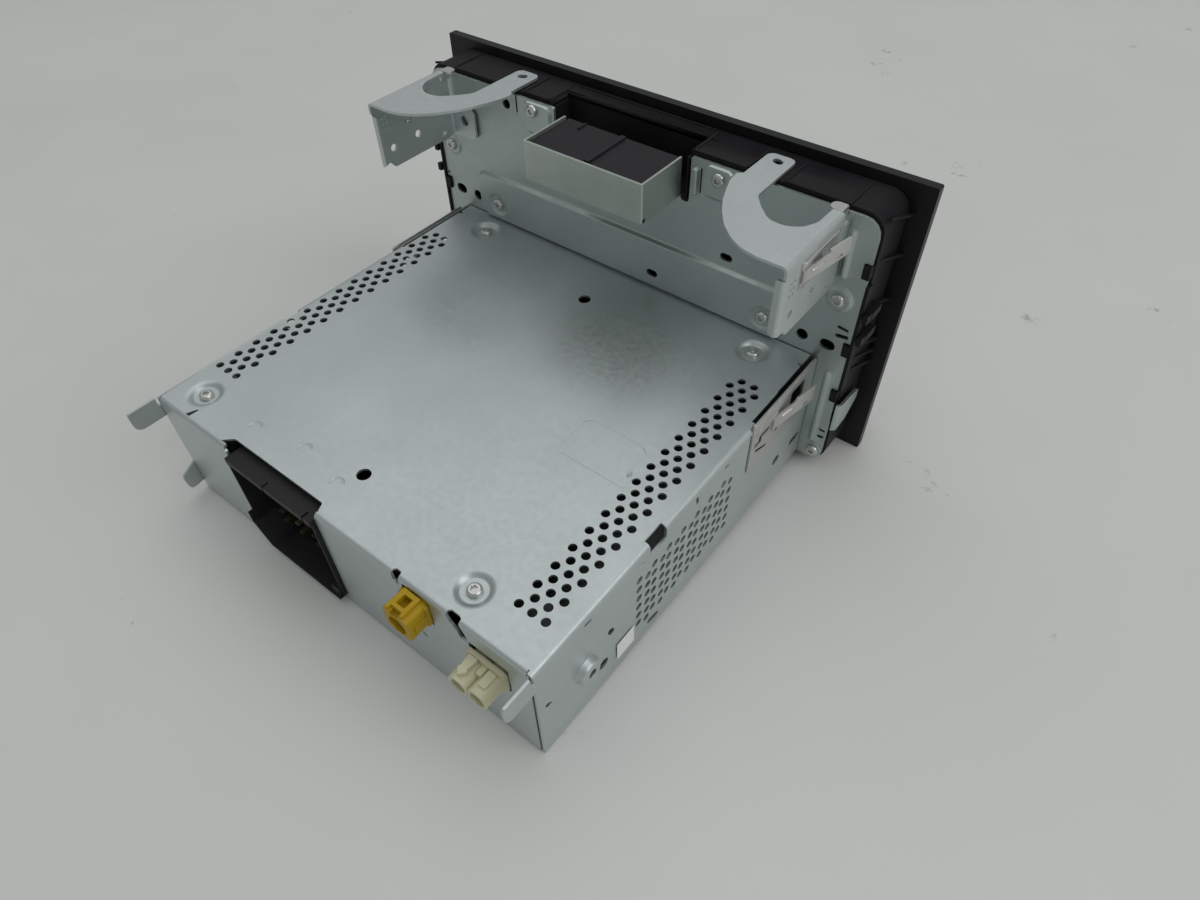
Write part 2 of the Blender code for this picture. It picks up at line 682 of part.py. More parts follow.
def cover_vents():
    places = []
    for edge, side, start, rows in ((LEFT_VENT_EDGE, 1, LEFT_VENT_START, LEFT_VENT_ROWS),
                                    (RIGHT_VENT_EDGE, -1, RIGHT_VENT_START, RIGHT_VENT_ROWS)):
        longer, shorter = vent_columns(edge, side)
        for row in range(rows):
            depth = start + VENT_ROW_STEP * row
            places += [(x, depth) for x in shorter]
            places += [(x, depth + VENT_ROW_STEP / 2) for x in longer]
    return places


def cover_screws():
    half = CHASSIS_WIDTH / 2
    return [(half * x, CHASSIS_DEPTH * y) for x, y in COVER_SCREW_SHARES]


def build_top_cover():
    section = [(x, CHASSIS_HEIGHT + z) for x, z in channel(CHASSIS_WIDTH, COVER_DROP)]
    cover = sheet("top_cover", [section], CHASSIS_DEPTH - 2 * GAP, "XZ", GAP, ZINC)
    level = CHASSIS_HEIGHT
    pressed, hollow, pierced = bmesh.new(), bmesh.new(), bmesh.new()
    slope = (DIMPLE_RADIUS - DIMPLE_FLOOR_RADIUS) / DIMPLE_DEPTH
    body_length = DIMPLE_DEPTH + SHEET / 2
    for x, y in cover_screws():
        rod(pressed, (x, y, level - SHEET / 2 - body_length / 2), "Z",
            DIMPLE_FLOOR_RADIUS + SHEET, body_length,
            tip_radius=DIMPLE_FLOOR_RADIUS + SHEET + slope * body_length)
        cut_length = DIMPLE_DEPTH + SHEET
        rod(hollow, (x, y, level - DIMPLE_DEPTH + cut_length / 2), "Z", DIMPLE_FLOOR_RADIUS,
            cut_length, tip_radius=DIMPLE_FLOOR_RADIUS + slope * cut_length)
        rod(pierced, (x, y, level - DIMPLE_DEPTH), "Z", SCREW_HOLE_RADIUS, 2 * OVERRUN)
    for x, y in cover_vents():
        rod(pierced, (x, y, level), "Z", VENT_RADIUS, OVERRUN, sides=6)
    for x_share, y_share in COVER_HOLE_SHARES:
        rod(pierced, (CHASSIS_WIDTH / 2 * x_share, CHASSIS_DEPTH * y_share, level), "Z",
            COVER_HOLE_RADIUS, OVERRUN)
    block(pierced, (HEADER_SIDE, CHASSIS_DEPTH - NOTCH_DEPTH, level - OVERRUN),
          (HEADER_SIDE + HEADER_WIDTH, CHASSIS_DEPTH + OVERRUN, level + OVERRUN))
    for side in (1, -1):
        low = (CHASSIS_WIDTH / 2 - BEND - GAP, EDGE_NOTCH_PLACE, level - COVER_DROP - OVERRUN)
        high = (CHASSIS_WIDTH / 2 + OVERRUN, EDGE_NOTCH_PLACE + EDGE_NOTCH_LENGTH, level + OVERRUN)
        block(pierced, *mirrored(low, high, side))
    boolean(cover, "dimples", pressed, "UNION")
    boolean(cover, "dimple_hollows", hollow)
    boolean(cover, "punched", pierced)
    return cover


def build_base_plate():
    section = [(x, -z) for x, z in channel(CHASSIS_WIDTH, BASE_RISE)]
    base = sheet("base_plate", [section], CHASSIS_DEPTH - 2 * GAP, "XZ", GAP, ZINC)
    posts = bmesh.new()
    height = BOARD_LEVEL - SHEET / 2 - GAP
    half = CHASSIS_WIDTH / 2
    for x, y in SPACER_SHARES:
        rod(posts, (half * x, CHASSIS_DEPTH * y, SHEET / 2 + height / 2), "Z", SPACER_RADIUS,
            height, 6)
    boolean(base, "posts", posts, "UNION")


def wall_outline(low_tab):
    low, high = BASE_RISE + GAP, CHASSIS_HEIGHT - COVER_DROP - GAP
    end = CHASSIS_DEPTH
    tab_end = end + TAB_REACH
    tab_low = CHASSIS_HEIGHT - GAP - TAB_HEIGHT
    outline = [(GAP, low), (end, low)]
    if low_tab:
        outline += [(end, LOW_TAB_BASE + SHEET), (end + LOW_TAB_REACH, LOW_TAB_BASE),
                    (end + LOW_TAB_REACH, LOW_TAB_BASE + LOW_TAB_RISE - TAB_CORNER),
                    (end, LOW_TAB_BASE + LOW_TAB_RISE)]
    outline += [(end, tab_low)]
    outline += arc((tab_end - TAB_CORNER, tab_low + TAB_CORNER), (TAB_CORNER, TAB_CORNER), -90, 0, 3)
    outline += [(tab_end, CHASSIS_HEIGHT - GAP), (end, CHASSIS_HEIGHT - GAP), (end, high),
                (GAP, high)]
    return outline


def wall_vents():
    places = []
    for column in range(WALL_VENT_COLUMNS):
        for row in range(WALL_VENT_ROWS):
            depth = WALL_VENT_START + VENT_ROW_STEP * column
            height = WALL_VENT_LOW + VENT_COLUMN_STEP * row
            places.append((depth, height))
            places.append((depth + VENT_ROW_STEP / 2, height + VENT_COLUMN_STEP / 2))
    return places


def build_side_walls():
    slots = [slot((CHASSIS_DEPTH * depth_share, CHASSIS_HEIGHT * level_share),
                  WALL_SLOT_LENGTH, WALL_SLOT_WIDTH, 3)
             for depth_share, level_share in WALL_SLOT_SHARES]
    for name, start, side, vents in (
            ("side_wall_right", -CHASSIS_WIDTH / 2, -1, wall_vents()),
            ("side_wall_left", CHASSIS_WIDTH / 2 - SHEET, 1, ())):
        wall = sheet(name, [wall_outline(side > 0)], SHEET, "YZ", start, ZINC)
        punched = extruded(slots, SHEET + 2 * OVERRUN, "YZ", start - OVERRUN)
        for depth, height in vents:
            rod(punched, (start + SHEET / 2, depth, height), "X", VENT_RADIUS, OVERRUN, 6)
        boolean(wall, "punched", punched)
        raised, bore = bmesh.new(), bmesh.new()
        length = BOSS_HEIGHT + SHEET / 2
        middle = side * (CHASSIS_WIDTH / 2 - SHEET / 2 + length / 2)
        ends = (BOSS_RADIUS, BOSS_TIP_RADIUS)
        rod(raised, (middle, BOSS_PLACE, BOSS_LEVEL), "X", ends[side < 0], length, 12,
            tip_radius=ends[side > 0])
        rod(bore, (middle, BOSS_PLACE, BOSS_LEVEL), "X", BOSS_BORE, 2 * length, 10)
        boolean(wall, "boss", raised, "UNION")
        boolean(wall, "boss_bore", bore)


def build_rear_wall():
    half = CHASSIS_WIDTH / 2 - SHEET - GAP
    low, high = SHEET + 2 * GAP, CHASSIS_HEIGHT - SHEET - 2 * GAP
    fit = HEADER_FIT
    right, left = HEADER_SIDE - fit, HEADER_SIDE + HEADER_WIDTH + fit
    outline = [(-half, low), (half, low), (half, high), (left, high), (left, HEADER_BASE - fit),
               (right, HEADER_BASE - fit), (right, high), (-half, high)]
    single = rectangle(RF_PLACE - RF_WIDTH / 2 - fit, RF_PLACE + RF_WIDTH / 2 + fit, RF_BASE - fit,
                       RF_BASE + RF_HEIGHT + fit)
    twin = rectangle(TWIN_PLACE - TWIN_WIDTH / 2 - fit, TWIN_PLACE + TWIN_WIDTH / 2 + fit,
                     TWIN_BASE - fit, TWIN_BASE + TWIN_HEIGHT + fit)
    small = circle((RF_PLACE, CHASSIS_HEIGHT / 2), SCREW_HOLE_RADIUS, 8)
    sheet("rear_wall", [outline, single, twin, small], SHEET, "XZ", CHASSIS_DEPTH - SHEET, ZINC)


def build_label():
    outer = -CHASSIS_WIDTH / 2 - GAP
    half = LABEL_SIDE / 2
    outline = rectangle(LABEL_PLACE - half, LABEL_PLACE + half, LABEL_LEVEL - half,
                        LABEL_LEVEL + half)
    sheet("blank_label", [outline], LABEL_THICKNESS, "YZ", outer - LABEL_THICKNESS, PAPER)


def build_cover_screws():
    # Pan heads in the cover's dimples
    profile = [(0, SCREW_HEAD_HEIGHT), (SCREW_HEAD_RADIUS / 2, SCREW_HEAD_HEIGHT),
               (SCREW_HEAD_RADIUS, SCREW_HEAD_HEIGHT - SCREW_CROWN), (SCREW_HEAD_RADIUS, 0),
               (SCREW_SHANK_RADIUS, 0), (SCREW_SHANK_RADIUS, -SCREW_SHANK_LENGTH),
               (0, -SCREW_SHANK_LENGTH)]
    floor = CHASSIS_HEIGHT - DIMPLE_DEPTH + GAP
    for number, (x, y) in enumerate(cover_screws()):
        turned("cover_screw_%d" % (number + 1), profile, BRIGHT, "Z", (x, y, floor), 12)


# Connectors

def header_levels():
    low, high = HEADER_BASE + HEADER_WALL, HEADER_BASE + HEADER_HEIGHT - HEADER_WALL
    shelf = HEADER_BASE + HEADER_HEIGHT * HEADER_SHELF_SHARE
    return low, shelf - HEADER_WALL / 2, shelf + HEADER_WALL / 2, high


def build_header():
    # A tube with a shelf; the pin block closes its inner end
    left, right = HEADER_SIDE, HEADER_SIDE + HEADER_WIDTH
    rear = CHASSIS_DEPTH + HEADER_PROUD
    outer = rectangle(left, right, HEADER_BASE, HEADER_BASE + HEADER_HEIGHT)
    low, shelf_low, shelf_high, high = header_levels()
    wall = HEADER_WALL
    sockets = [rectangle(left + wall, right - wall, low, shelf_low),
               rectangle(left + wall, right - wall, shelf_high, high)]
    front = rear - HEADER_DEPTH
    sheet("quadlock_header", [outer] + sockets, HEADER_DEPTH - HEADER_BACK - GAP, "XZ",
          front + HEADER_BACK + GAP, BLACK)
    # Eight blades below and three rows of pins above stand on the pin block
    block_piece = from_bmesh("pin_block", blocks(((left, front, HEADER_BASE),
                                                  (right, front + HEADER_BACK,
                                                   HEADER_BASE + HEADER_HEIGHT))), BRIGHT)
    pins = bmesh.new()
    left, right = left + wall, right - wall
    start, end = front + HEADER_BACK / 2, front + HEADER_BACK + BLADE_LENGTH
    for rows, columns, floor, roof, width, height in (
            (2, 4, low, shelf_low, BLADE_WIDTH, BLADE_HEIGHT),
            (3, 8, shelf_high, high, PIN_SIDE, PIN_SIDE)):
        for row in range(rows):
            z = floor + (roof - floor) * (row + 1) / (rows + 1)
            for column in range(columns):
                x = left + (right - left) * (column + 1) / (columns + 1)
                block(pins, (x - width / 2, start, z - height / 2),
                      (x + width / 2, end, z + height / 2))
    boolean(block_piece, "pins", pins, "UNION")


def build_aerial_sockets():
    rear = CHASSIS_DEPTH + RF_PROUD
    left, right = RF_PLACE - RF_WIDTH / 2, RF_PLACE + RF_WIDTH / 2
    top = RF_BASE + RF_HEIGHT
    key = RF_KEY_WIDTH / 2
    single = sheet("antenna_socket_yellow",
                   [rounded(left, right, RF_BASE, top, RF_KEY_RISE, 2)],
                   RF_PROUD + RF_ROOT, "XZ", CHASSIS_DEPTH - RF_ROOT, YELLOW)
    ridge = blocks(((RF_PLACE - key, CHASSIS_DEPTH + GAP, top - RF_KEY_RISE),
                    (RF_PLACE + key, rear - RF_KEY_RISE, top + RF_KEY_RISE)))
    boolean(single, "ridge", ridge, "UNION")
    ring = [circle((RF_PLACE, RF_BASE + RF_HEIGHT / 2), RF_MOUTH, 16),
            circle((RF_PLACE, RF_BASE + RF_HEIGHT / 2), RF_PIN_RADIUS, 6)]
    boolean(single, "mouth", extruded(ring, 2 * RF_MOUTH_DEPTH, "XZ", rear - RF_MOUTH_DEPTH))
    rear = CHASSIS_DEPTH + TWIN_PROUD
    left, right = TWIN_PLACE - TWIN_WIDTH / 2, TWIN_PLACE + TWIN_WIDTH / 2
    top = TWIN_BASE + TWIN_HEIGHT
    twin = sheet("antenna_socket_cream",
                 [rounded(left, right, TWIN_BASE, top, RF_KEY_RISE, 2)],
                 TWIN_PROUD + RF_ROOT, "XZ", CHASSIS_DEPTH - RF_ROOT, CREAM)
    rings = []
    for side in (1, -1):
        centre = (TWIN_PLACE + side * TWIN_STEP / 2, TWIN_BASE + TWIN_HEIGHT / 2)
        rings += [circle(centre, TWIN_MOUTH, 12), circle(centre, RF_PIN_RADIUS, 6)]
    boolean(twin, "mouths", extruded(rings, 2 * RF_MOUTH_DEPTH, "XZ", rear - RF_MOUTH_DEPTH))
    split = blocks(((TWIN_PLACE - TWIN_SPLIT / 2, CHASSIS_DEPTH + RF_KEY_RISE, TWIN_BASE - OVERRUN),
                    (TWIN_PLACE + TWIN_SPLIT / 2, rear + OVERRUN, top + OVERRUN)))
    boolean(twin, "split", split)


# Electronics

def build_main_board():
    half = CHASSIS_WIDTH / 2 - BOARD_MARGIN
    end = CHASSIS_DEPTH + HEADER_PROUD - HEADER_DEPTH - GAP
    outline = rectangle(-half, half, BOARD_MARGIN, end)
    sheet("main_board", [outline], BOARD_THICKNESS, "XY", BOARD_LEVEL, GREEN)


def build_tuner_and_sink():
    seat = BOARD_LEVEL + BOARD_THICKNESS + GAP
    rear = CHASSIS_DEPTH - RF_ROOT - GAP
    half = TUNER_WIDTH / 2
    can = blocks(((TUNER_PLACE - half, rear - TUNER_DEPTH, seat),
                  (TUNER_PLACE + half, rear, seat + TUNER_HEIGHT)))
    from_bmesh("tuner_module", can, ZINC)
    # The finned sink's section: a flat foot with upright fins
    pitch = (SINK_WIDTH - SINK_FIN) / (SINK_FINS - 1)
    right = SINK_LEFT - SINK_WIDTH
    outline = [(right, seat), (SINK_LEFT, seat)]
    for fin in reversed(range(SINK_FINS)):
        start = right + pitch * fin
        outline += [(start + SINK_FIN, seat + SINK_HEIGHT), (start, seat + SINK_HEIGHT)]
        if fin:
            outline += [(start, seat + SINK_BASE), (start - pitch + SINK_FIN, seat + SINK_BASE)]
    start = DRIVE_FRONT + DRIVE_DEPTH + SHEET
    sheet("heat_sink", [outline], SINK_DEPTH, "XZ", start, ALUMINIUM)


def build_ribbon():
    seat = BOARD_LEVEL + BOARD_THICKNESS + GAP
    front = FRONT_BOARD_FACE + BOARD_THICKNESS + GAP
    half = RIBBON_WIDTH / 2
    ribbon = blocks(((-half, front, seat), (half, front + RIBBON_LENGTH, seat + RIBBON_THICKNESS)))
    from_bmesh("ribbon_cable", ribbon, CREAM)


# Disc drive

def build_drive():
    half, wing = DRIVE_WIDTH / 2, CHASSIS_WIDTH / 2 - SHEET - GAP
    low, high = DRIVE_FLOOR, DRIVE_TOP
    section = [(-half, low), (half, low), (half, high - SHEET), (wing, high - SHEET), (wing, high),
               (half - SHEET, high), (half - SHEET, low + SHEET), (-half + SHEET, low + SHEET),
               (-half + SHEET, high), (-wing, high), (-wing, high - SHEET), (-half, high - SHEET)]
    tray = sheet("drive_tray", [section], DRIVE_DEPTH, "XZ", DRIVE_FRONT, ZINC)
    fittings, bores = bmesh.new(), bmesh.new()
    floor = low + SHEET / 2
    outer = half - SHEET / 2
    length = DRIVE_DEPTH + DRIVE_FRONT - SLED_PLACE
    post = RAIL_RADIUS * 2
    for side in (1, -1):
        block(fittings, *mirrored((BEARING_INSET, ROLLER_PLACE - BEARING_LENGTH / 2, floor),
                                  (outer, ROLLER_PLACE + BEARING_LENGTH / 2, BEARING_TOP), side))
        x = side * RAIL_SPREAD / 2
        rod(fittings, (x, SLED_PLACE - post + length / 2, RAIL_LEVEL), "Y", RAIL_RADIUS, length, 10)
        for y in (SLED_PLACE - post, SLED_PLACE - post + length):
            block(fittings, (x - post / 2, y - post / 2, floor), (x + post / 2, y + GAP, RAIL_LEVEL))
    rod(bores, (0, DISC_CENTRE, low), "Z", SPINDLE_RADIUS + 2 * GAP, 2 * OVERRUN)
    rod(bores, (0, ROLLER_PLACE, ROLLER_LEVEL), "X", ROLLER_JOURNAL + GAP, 2 * ROLLER_REACH, 12)
    boolean(tray, "fittings", fittings, "UNION", True)
    boolean(tray, "bores", bores)
    lid = [rectangle(-half, half, DRIVE_FRONT, DRIVE_FRONT + DRIVE_DEPTH),
           circle((0, DISC_CENTRE), LID_HOLE_RADIUS, 16)]
    sheet("drive_lid", lid, SHEET, "XY", high + GAP, ZINC)
    motor = bmesh.new()
    top = low - GAP
    seat = BOARD_LEVEL + BOARD_THICKNESS + GAP
    rod(motor, (0, DISC_CENTRE, (top + seat) / 2), "Z", MOTOR_RADIUS, top - seat, 16)
    smooth(from_bmesh("spindle_motor", motor, BRIGHT))
    drop = TABLE_LEVEL - low
    turned("turntable",
           [(0, 0), (TABLE_RADIUS, 0), (TABLE_RADIUS, -TABLE_THICKNESS),
            (SPINDLE_RADIUS, -TABLE_THICKNESS), (SPINDLE_RADIUS, -drop), (0, -drop)],
           BLACK, "Z", (0, DISC_CENTRE, TABLE_LEVEL), 24)


def build_sled():
    floor = DRIVE_FLOOR + SHEET
    half = SLED_WIDTH / 2
    sled = from_bmesh("pickup_sled", blocks(((-half, SLED_PLACE, floor + GAP),
                                             (half, SLED_PLACE + SLED_LENGTH, SLED_TOP))), BLACK)
    notches = bmesh.new()
    for side in (1, -1):
        x = side * RAIL_SPREAD / 2
        reach = RAIL_RADIUS + GAP
        block(notches, (x - reach, SLED_PLACE - OVERRUN, floor - OVERRUN),
              (x + reach, SLED_PLACE + SLED_LENGTH + OVERRUN, RAIL_LEVEL + reach))
    boolean(sled, "rail_notches", notches)


def build_roller():
    half = DISC_RADIUS
    journal = ROLLER_REACH - GAP
    turned("feed_roller",
           [(0, journal), (ROLLER_JOURNAL, journal), (ROLLER_JOURNAL, half), (ROLLER_RADIUS, half),
            (ROLLER_RADIUS, -half), (ROLLER_JOURNAL, -half), (ROLLER_JOURNAL, -journal),
            (0, -journal)], RUBBER, "X", (0, ROLLER_PLACE, ROLLER_LEVEL), 12)


def build_chute():
    # A square tube that leads the disc from the panel's slot to the drive
    half = SLOT_WIDTH / 2
    inner = rectangle(-half, half, CHUTE_LOW + CHUTE_WALL, CHUTE_HIGH - CHUTE_WALL)
    outer = rectangle(-CHUTE_OUTER_HALF, CHUTE_OUTER_HALF, CHUTE_LOW, CHUTE_HIGH)
    sheet("disc_chute", [outer, inner], DRIVE_FRONT - GAP - HOUSING_FRONT, "XZ", HOUSING_FRONT, BLACK)


# Front plate with its box

def tapered_block(bm, low, high, shrink):
    # A block whose rear face, at the high Y, is smaller all round
    verts = block(bm, low, high)
    centre = (Vector(low) + Vector(high)) / 2
    for vert in verts:
        if vert.co.y > centre.y:
            vert.co.x += shrink if vert.co.x < centre.x else -shrink
            vert.co.z += shrink if vert.co.z < centre.z else -shrink


def build_front_plate():
    half = PLATE_WIDTH / 2
    low = PLATE_LOW_CORNER
    box_left = REAR_BOX_PLACE + REAR_BOX_WIDTH / 2 + BOX_CLEARANCE
    box_right = REAR_BOX_PLACE - REAR_BOX_WIDTH / 2 + GAP
    base = REAR_BOX_BASE - SHEET
    top = PLATE_TOP_CORNER
    outline = (arc((-half + low, low), (low, low), 180, 270, 4)
               + arc((half - low, low), (low, low), 270, 360, 4)
               + arc((half - top, PLATE_HEIGHT - top), (top, top), 0, 90, 2)
               + [(box_left, PLATE_HEIGHT), (box_left, base), (box_right, base),
                  (box_right, PLATE_HEIGHT)]
               + arc((-half + top, PLATE_HEIGHT - top), (top, top), 90, 180, 2))
    fit = CHUTE_FIT
    disc = rectangle(-CHUTE_OUTER_HALF - fit, CHUTE_OUTER_HALF + fit, CHUTE_LOW - fit, CHUTE_HIGH + fit)
    seat = BOARD_LEVEL + BOARD_THICKNESS
    ribbon = rectangle(-RIBBON_WIDTH / 2 - fit, RIBBON_WIDTH / 2 + fit, seat - fit,
                       seat + RIBBON_THICKNESS + 2 * fit)
    plate = sheet("front_plate", [outline, disc, ribbon], PLATE_SHEET, "XZ", -PLATE_SHEET, ZINC)
    raised, hollow = bmesh.new(), bmesh.new()
    middle = -PLATE_SHEET / 2
    tapered_block(raised, (BAND_RIGHT, middle, BAND_LOW), (BAND_LEFT, BAND_RISE, BAND_HIGH),
                  BAND_SLOPE)
    wall = PLATE_SHEET
    tapered_block(hollow, (BAND_RIGHT + wall, -PLATE_SHEET - OVERRUN, BAND_LOW + wall),
                  (BAND_LEFT - wall, BAND_RISE - wall, BAND_HIGH - wall), BAND_SLOPE)
    boolean(plate, "band", raised, "UNION")
    boolean(plate, "band_hollow", hollow)
    lugs, holes = bmesh.new(), bmesh.new()
    for side in (1, -1):
        inner = HOUSING_WIDTH / 2 + GAP
        lug = block(lugs, *mirrored((inner, -LUG_REACH, LUG_LEVEL),
                                    (inner + LUG_THICKNESS, 0, LUG_LEVEL + LUG_HEIGHT), side))
        for vert in lug:
            if vert.co.y < -LUG_REACH / 2:
                vert.co.z += LUG_TAPER if vert.co.z < LUG_LEVEL + LUG_HEIGHT / 2 else 0
        block(lugs, *mirrored((half - LUG_TAPER, -PLATE_SHEET, LUG_LEVEL),
                              (inner + LUG_THICKNESS, 0, LUG_LEVEL + LUG_HEIGHT), side))
        for share in CLIP_LEVEL_SHARES:
            z = PLATE_HEIGHT * share
            reach = HOUSING_WIDTH / 2 - CLIP_DEPTH - GAP
            block(holes, *mirrored((reach, -OVERRUN, z - CLIP_HEIGHT / 2 - GAP),
                                   (half + OVERRUN, OVERRUN, z + CLIP_HEIGHT / 2 + GAP), side))
    boolean(plate, "lugs", lugs, "UNION", True)
    for x, z in PLATE_HOLE_SHARES:
        rod(holes, (half * x, 0, PLATE_HEIGHT * z), "Y", PLATE_HOLE_RADIUS, 4 * OVERRUN, 12)
    for x, z in PLATE_SLOT_SHARES:
        centre = (half * x, PLATE_HEIGHT * z)
        reach, rise = PLATE_SLOT_LENGTH / 2, PLATE_SLOT_WIDTH / 2
        block(holes, (centre[0] - reach, -2 * OVERRUN, centre[1] - rise),
              (centre[0] + reach, 2 * OVERRUN, centre[1] + rise))
    boolean(plate, "holes", holes)
    heads = bmesh.new()
    for shares, seat in ((PLATE_SCREW_SHARES, 0), (BAND_SCREW_SHARES, BAND_RISE)):
        for x, z in shares:
            length = SCREW_HEAD_HEIGHT + PLATE_SHEET / 2
            rod(heads, (half * x, seat + SCREW_HEAD_HEIGHT - length / 2, PLATE_HEIGHT * z), "Y",
                SCREW_HEAD_RADIUS, length, 10, tip_radius=SCREW_HEAD_RADIUS - SCREW_CROWN)
    boolean(plate, "screw_heads", heads, "UNION")


def build_rear_box():
    half = REAR_BOX_WIDTH / 2
    left, right = REAR_BOX_PLACE - half, REAR_BOX_PLACE + half
    wrap = from_bmesh("rear_box_wrap", blocks(((left, GAP, REAR_BOX_BASE),
                                               (right, REAR_BOX_DEPTH, REAR_BOX_TOP))), ZINC)
    wall = REAR_BOX_SHEET
    boolean(wrap, "inside", blocks(((left + wall, -OVERRUN, REAR_BOX_BASE + wall),
                                    (right - wall, REAR_BOX_DEPTH - wall, REAR_BOX_TOP + OVERRUN))))
    inner_left, inner_right = left + wall + GAP, right - wall - GAP
    base, top = REAR_BOX_BASE + wall + GAP, REAR_BOX_TOP - INSERT_DROP
    rear = REAR_BOX_DEPTH - wall - GAP
    insert = from_bmesh("rear_box_insert", blocks(((inner_left, -INSERT_FORWARD, base),
                                                   (inner_right, rear, top))), BLACK)
    middle, width = REAR_BOX_PLACE, INSERT_RIB_WIDTH / 2
    boolean(insert, "rib", blocks(((middle - width, GAP, base + wall),
                                   (middle + width, rear - width, top + INSERT_RIB_RISE))), "UNION")


# Brackets and spring clips

def moon_outline(side):
    # What is punched out of the bracket's top: the inside of the half moon
    outer = CHASSIS_WIDTH / 2
    start = BRACKET_TAB_INNER + BRACKET_TAB_WIDTH
    end = outer - MOON_STRIP
    centre = ((start + end) / 2, MOON_START)
    radii = ((end - start) / 2, MOON_DEPTH - MOON_START)
    free = -BRACKET_TAB_REACH - OVERRUN
    front = MOON_START - OVERRUN
    points = ([(start, free)] + arc(centre, radii, 180, 0, 12)
              + [(end, front), (outer + OVERRUN, front), (outer + OVERRUN, free)])
    return [(side * x, y) for x, y in points]


def scrap_outline(side):
    # What lies outside the half moon's rounded back edge
    outer = CHASSIS_WIDTH / 2
    tab = BRACKET_TAB_INNER
    flat = outer - MOON_OUTER_FLAT
    centre = (flat, MOON_OUTER_START)
    radii = (flat - tab + GAP, BRACKET_REAR - MOON_OUTER_START)
    free = -BRACKET_TAB_REACH - OVERRUN
    beyond = BRACKET_REAR + OVERRUN
    points = ([(tab, free)] + arc(centre, radii, 180, 90, 9)
              + [(flat, beyond), (tab - 2 * OVERRUN, beyond), (tab - 2 * OVERRUN, free)])
    return [(side * x, y) for x, y in points]


def build_bracket(name, side):
    outer, top = CHASSIS_WIDTH / 2, BRACKET_TOP
    tab = BRACKET_TAB_INNER - SHEET
    inner = BEND - SHEET
    turn = (outer - BEND, top - BEND)
    section = ([(tab, top)] + arc(turn, (BEND, BEND), 90, 0, 4)
               + [(outer, BRACKET_BASE), (outer - SHEET, BRACKET_BASE)]
               + arc(turn, (inner, inner), 0, 90, 2) + [(tab, top - SHEET)])
    section = [(side * x, z) for x, z in section]
    length = BRACKET_REAR + BRACKET_TAB_REACH
    bracket = sheet(name, [section], length, "XZ", -BRACKET_TAB_REACH, ZINC)
    deep = BEND + OVERRUN
    boolean(bracket, "moon", extruded([moon_outline(side)], deep, "XY", top - BEND - GAP))
    boolean(bracket, "back_edge", extruded([scrap_outline(side)], deep, "XY", top - BEND))
    trims = blocks(mirrored((outer - deep, -BRACKET_TAB_REACH - OVERRUN, BRACKET_BASE - OVERRUN),
                            (outer + OVERRUN, BRACKET_FRONT, top + OVERRUN), side),
                   mirrored((outer - deep, BRACKET_REAR - BRACKET_STEP, BRACKET_BASE - OVERRUN),
                            (outer + OVERRUN, BRACKET_REAR + OVERRUN,
                             BRACKET_BASE + BRACKET_STEP_HEIGHT), side))
    boolean(bracket, "trims", trims)
    flange = outer - SHEET / 2
    front, base = BRACKET_FRONT + GAP, BRACKET_BASE + GAP
    flanges = blocks(mirrored((flange - BRACKET_FLANGE_WIDTH, front, base),
                              (flange, front + SHEET, base + BRACKET_FLANGE_HEIGHT), side),
                     mirrored((flange - REAR_FLANGE_WIDTH, BRACKET_REAR - GAP - SHEET,
                               base + BRACKET_STEP_HEIGHT),
                              (flange, BRACKET_REAR - GAP, REAR_FLANGE_HIGH), side))
    boolean(bracket, "flanges", flanges, "UNION")
    holes = bmesh.new()
    tab_middle = side * (BRACKET_TAB_INNER + BRACKET_TAB_WIDTH / 2)
    rod(holes, (tab_middle, -BRACKET_TAB_REACH * 2 / 3, top), "Z", BRACKET_HOLE, 2 * OVERRUN, 10)
    flange_middle = side * (flange - BRACKET_FLANGE_WIDTH / 2)
    rod(holes, (flange_middle, BRACKET_FRONT, BRACKET_BASE + BRACKET_FLANGE_HEIGHT / 2), "Y",
        BRACKET_HOLE, 2 * OVERRUN, 10)
    boolean(bracket, "holes", holes)


def build_clip_plates():
    outer = CHASSIS_WIDTH / 2 + GAP
    for label, side in (("left", 1), ("right", -1)):
        for name, start, end, low, high in (
                ("clip_plate_low_", LOW_CLIP_START, LOW_CLIP_END, LOW_CLIP_BASE, LOW_CLIP_TOP),
                ("clip_plate_high_", HIGH_CLIP_START, HIGH_CLIP_END, HIGH_CLIP_BASE,
                 HIGH_CLIP_TOP)):
            plate = mirrored((outer, start, low), (outer + CLIP_PLATE_SHEET, end, high), side)
            from_bmesh(name + label, blocks(plate), BRIGHT)


def build_tongue(name, side, base):
    # A sprung blade seen from above: flat foot, then a rise towards the front
    foot = CHASSIS_WIDTH / 2 + 2 * GAP + CLIP_PLATE_SHEET
    lift = foot + TONGUE_LIFT
    thick = TONGUE_SHEET
    outline = [(foot, TONGUE_ROOT + TONGUE_FOOT), (foot, TONGUE_ROOT), (lift, TONGUE_TIP),
               (lift + thick, TONGUE_TIP), (foot + thick, TONGUE_ROOT),
               (foot + thick, TONGUE_ROOT + TONGUE_FOOT)]
    outline = [(side * x, y) for x, y in outline]
    tongue = sheet(name, [outline], TONGUE_HEIGHT, "XY", base, BRIGHT)
    move_origin(tongue, (side * foot, TONGUE_ROOT, base + TONGUE_HEIGHT / 2))


# Housing and front panel

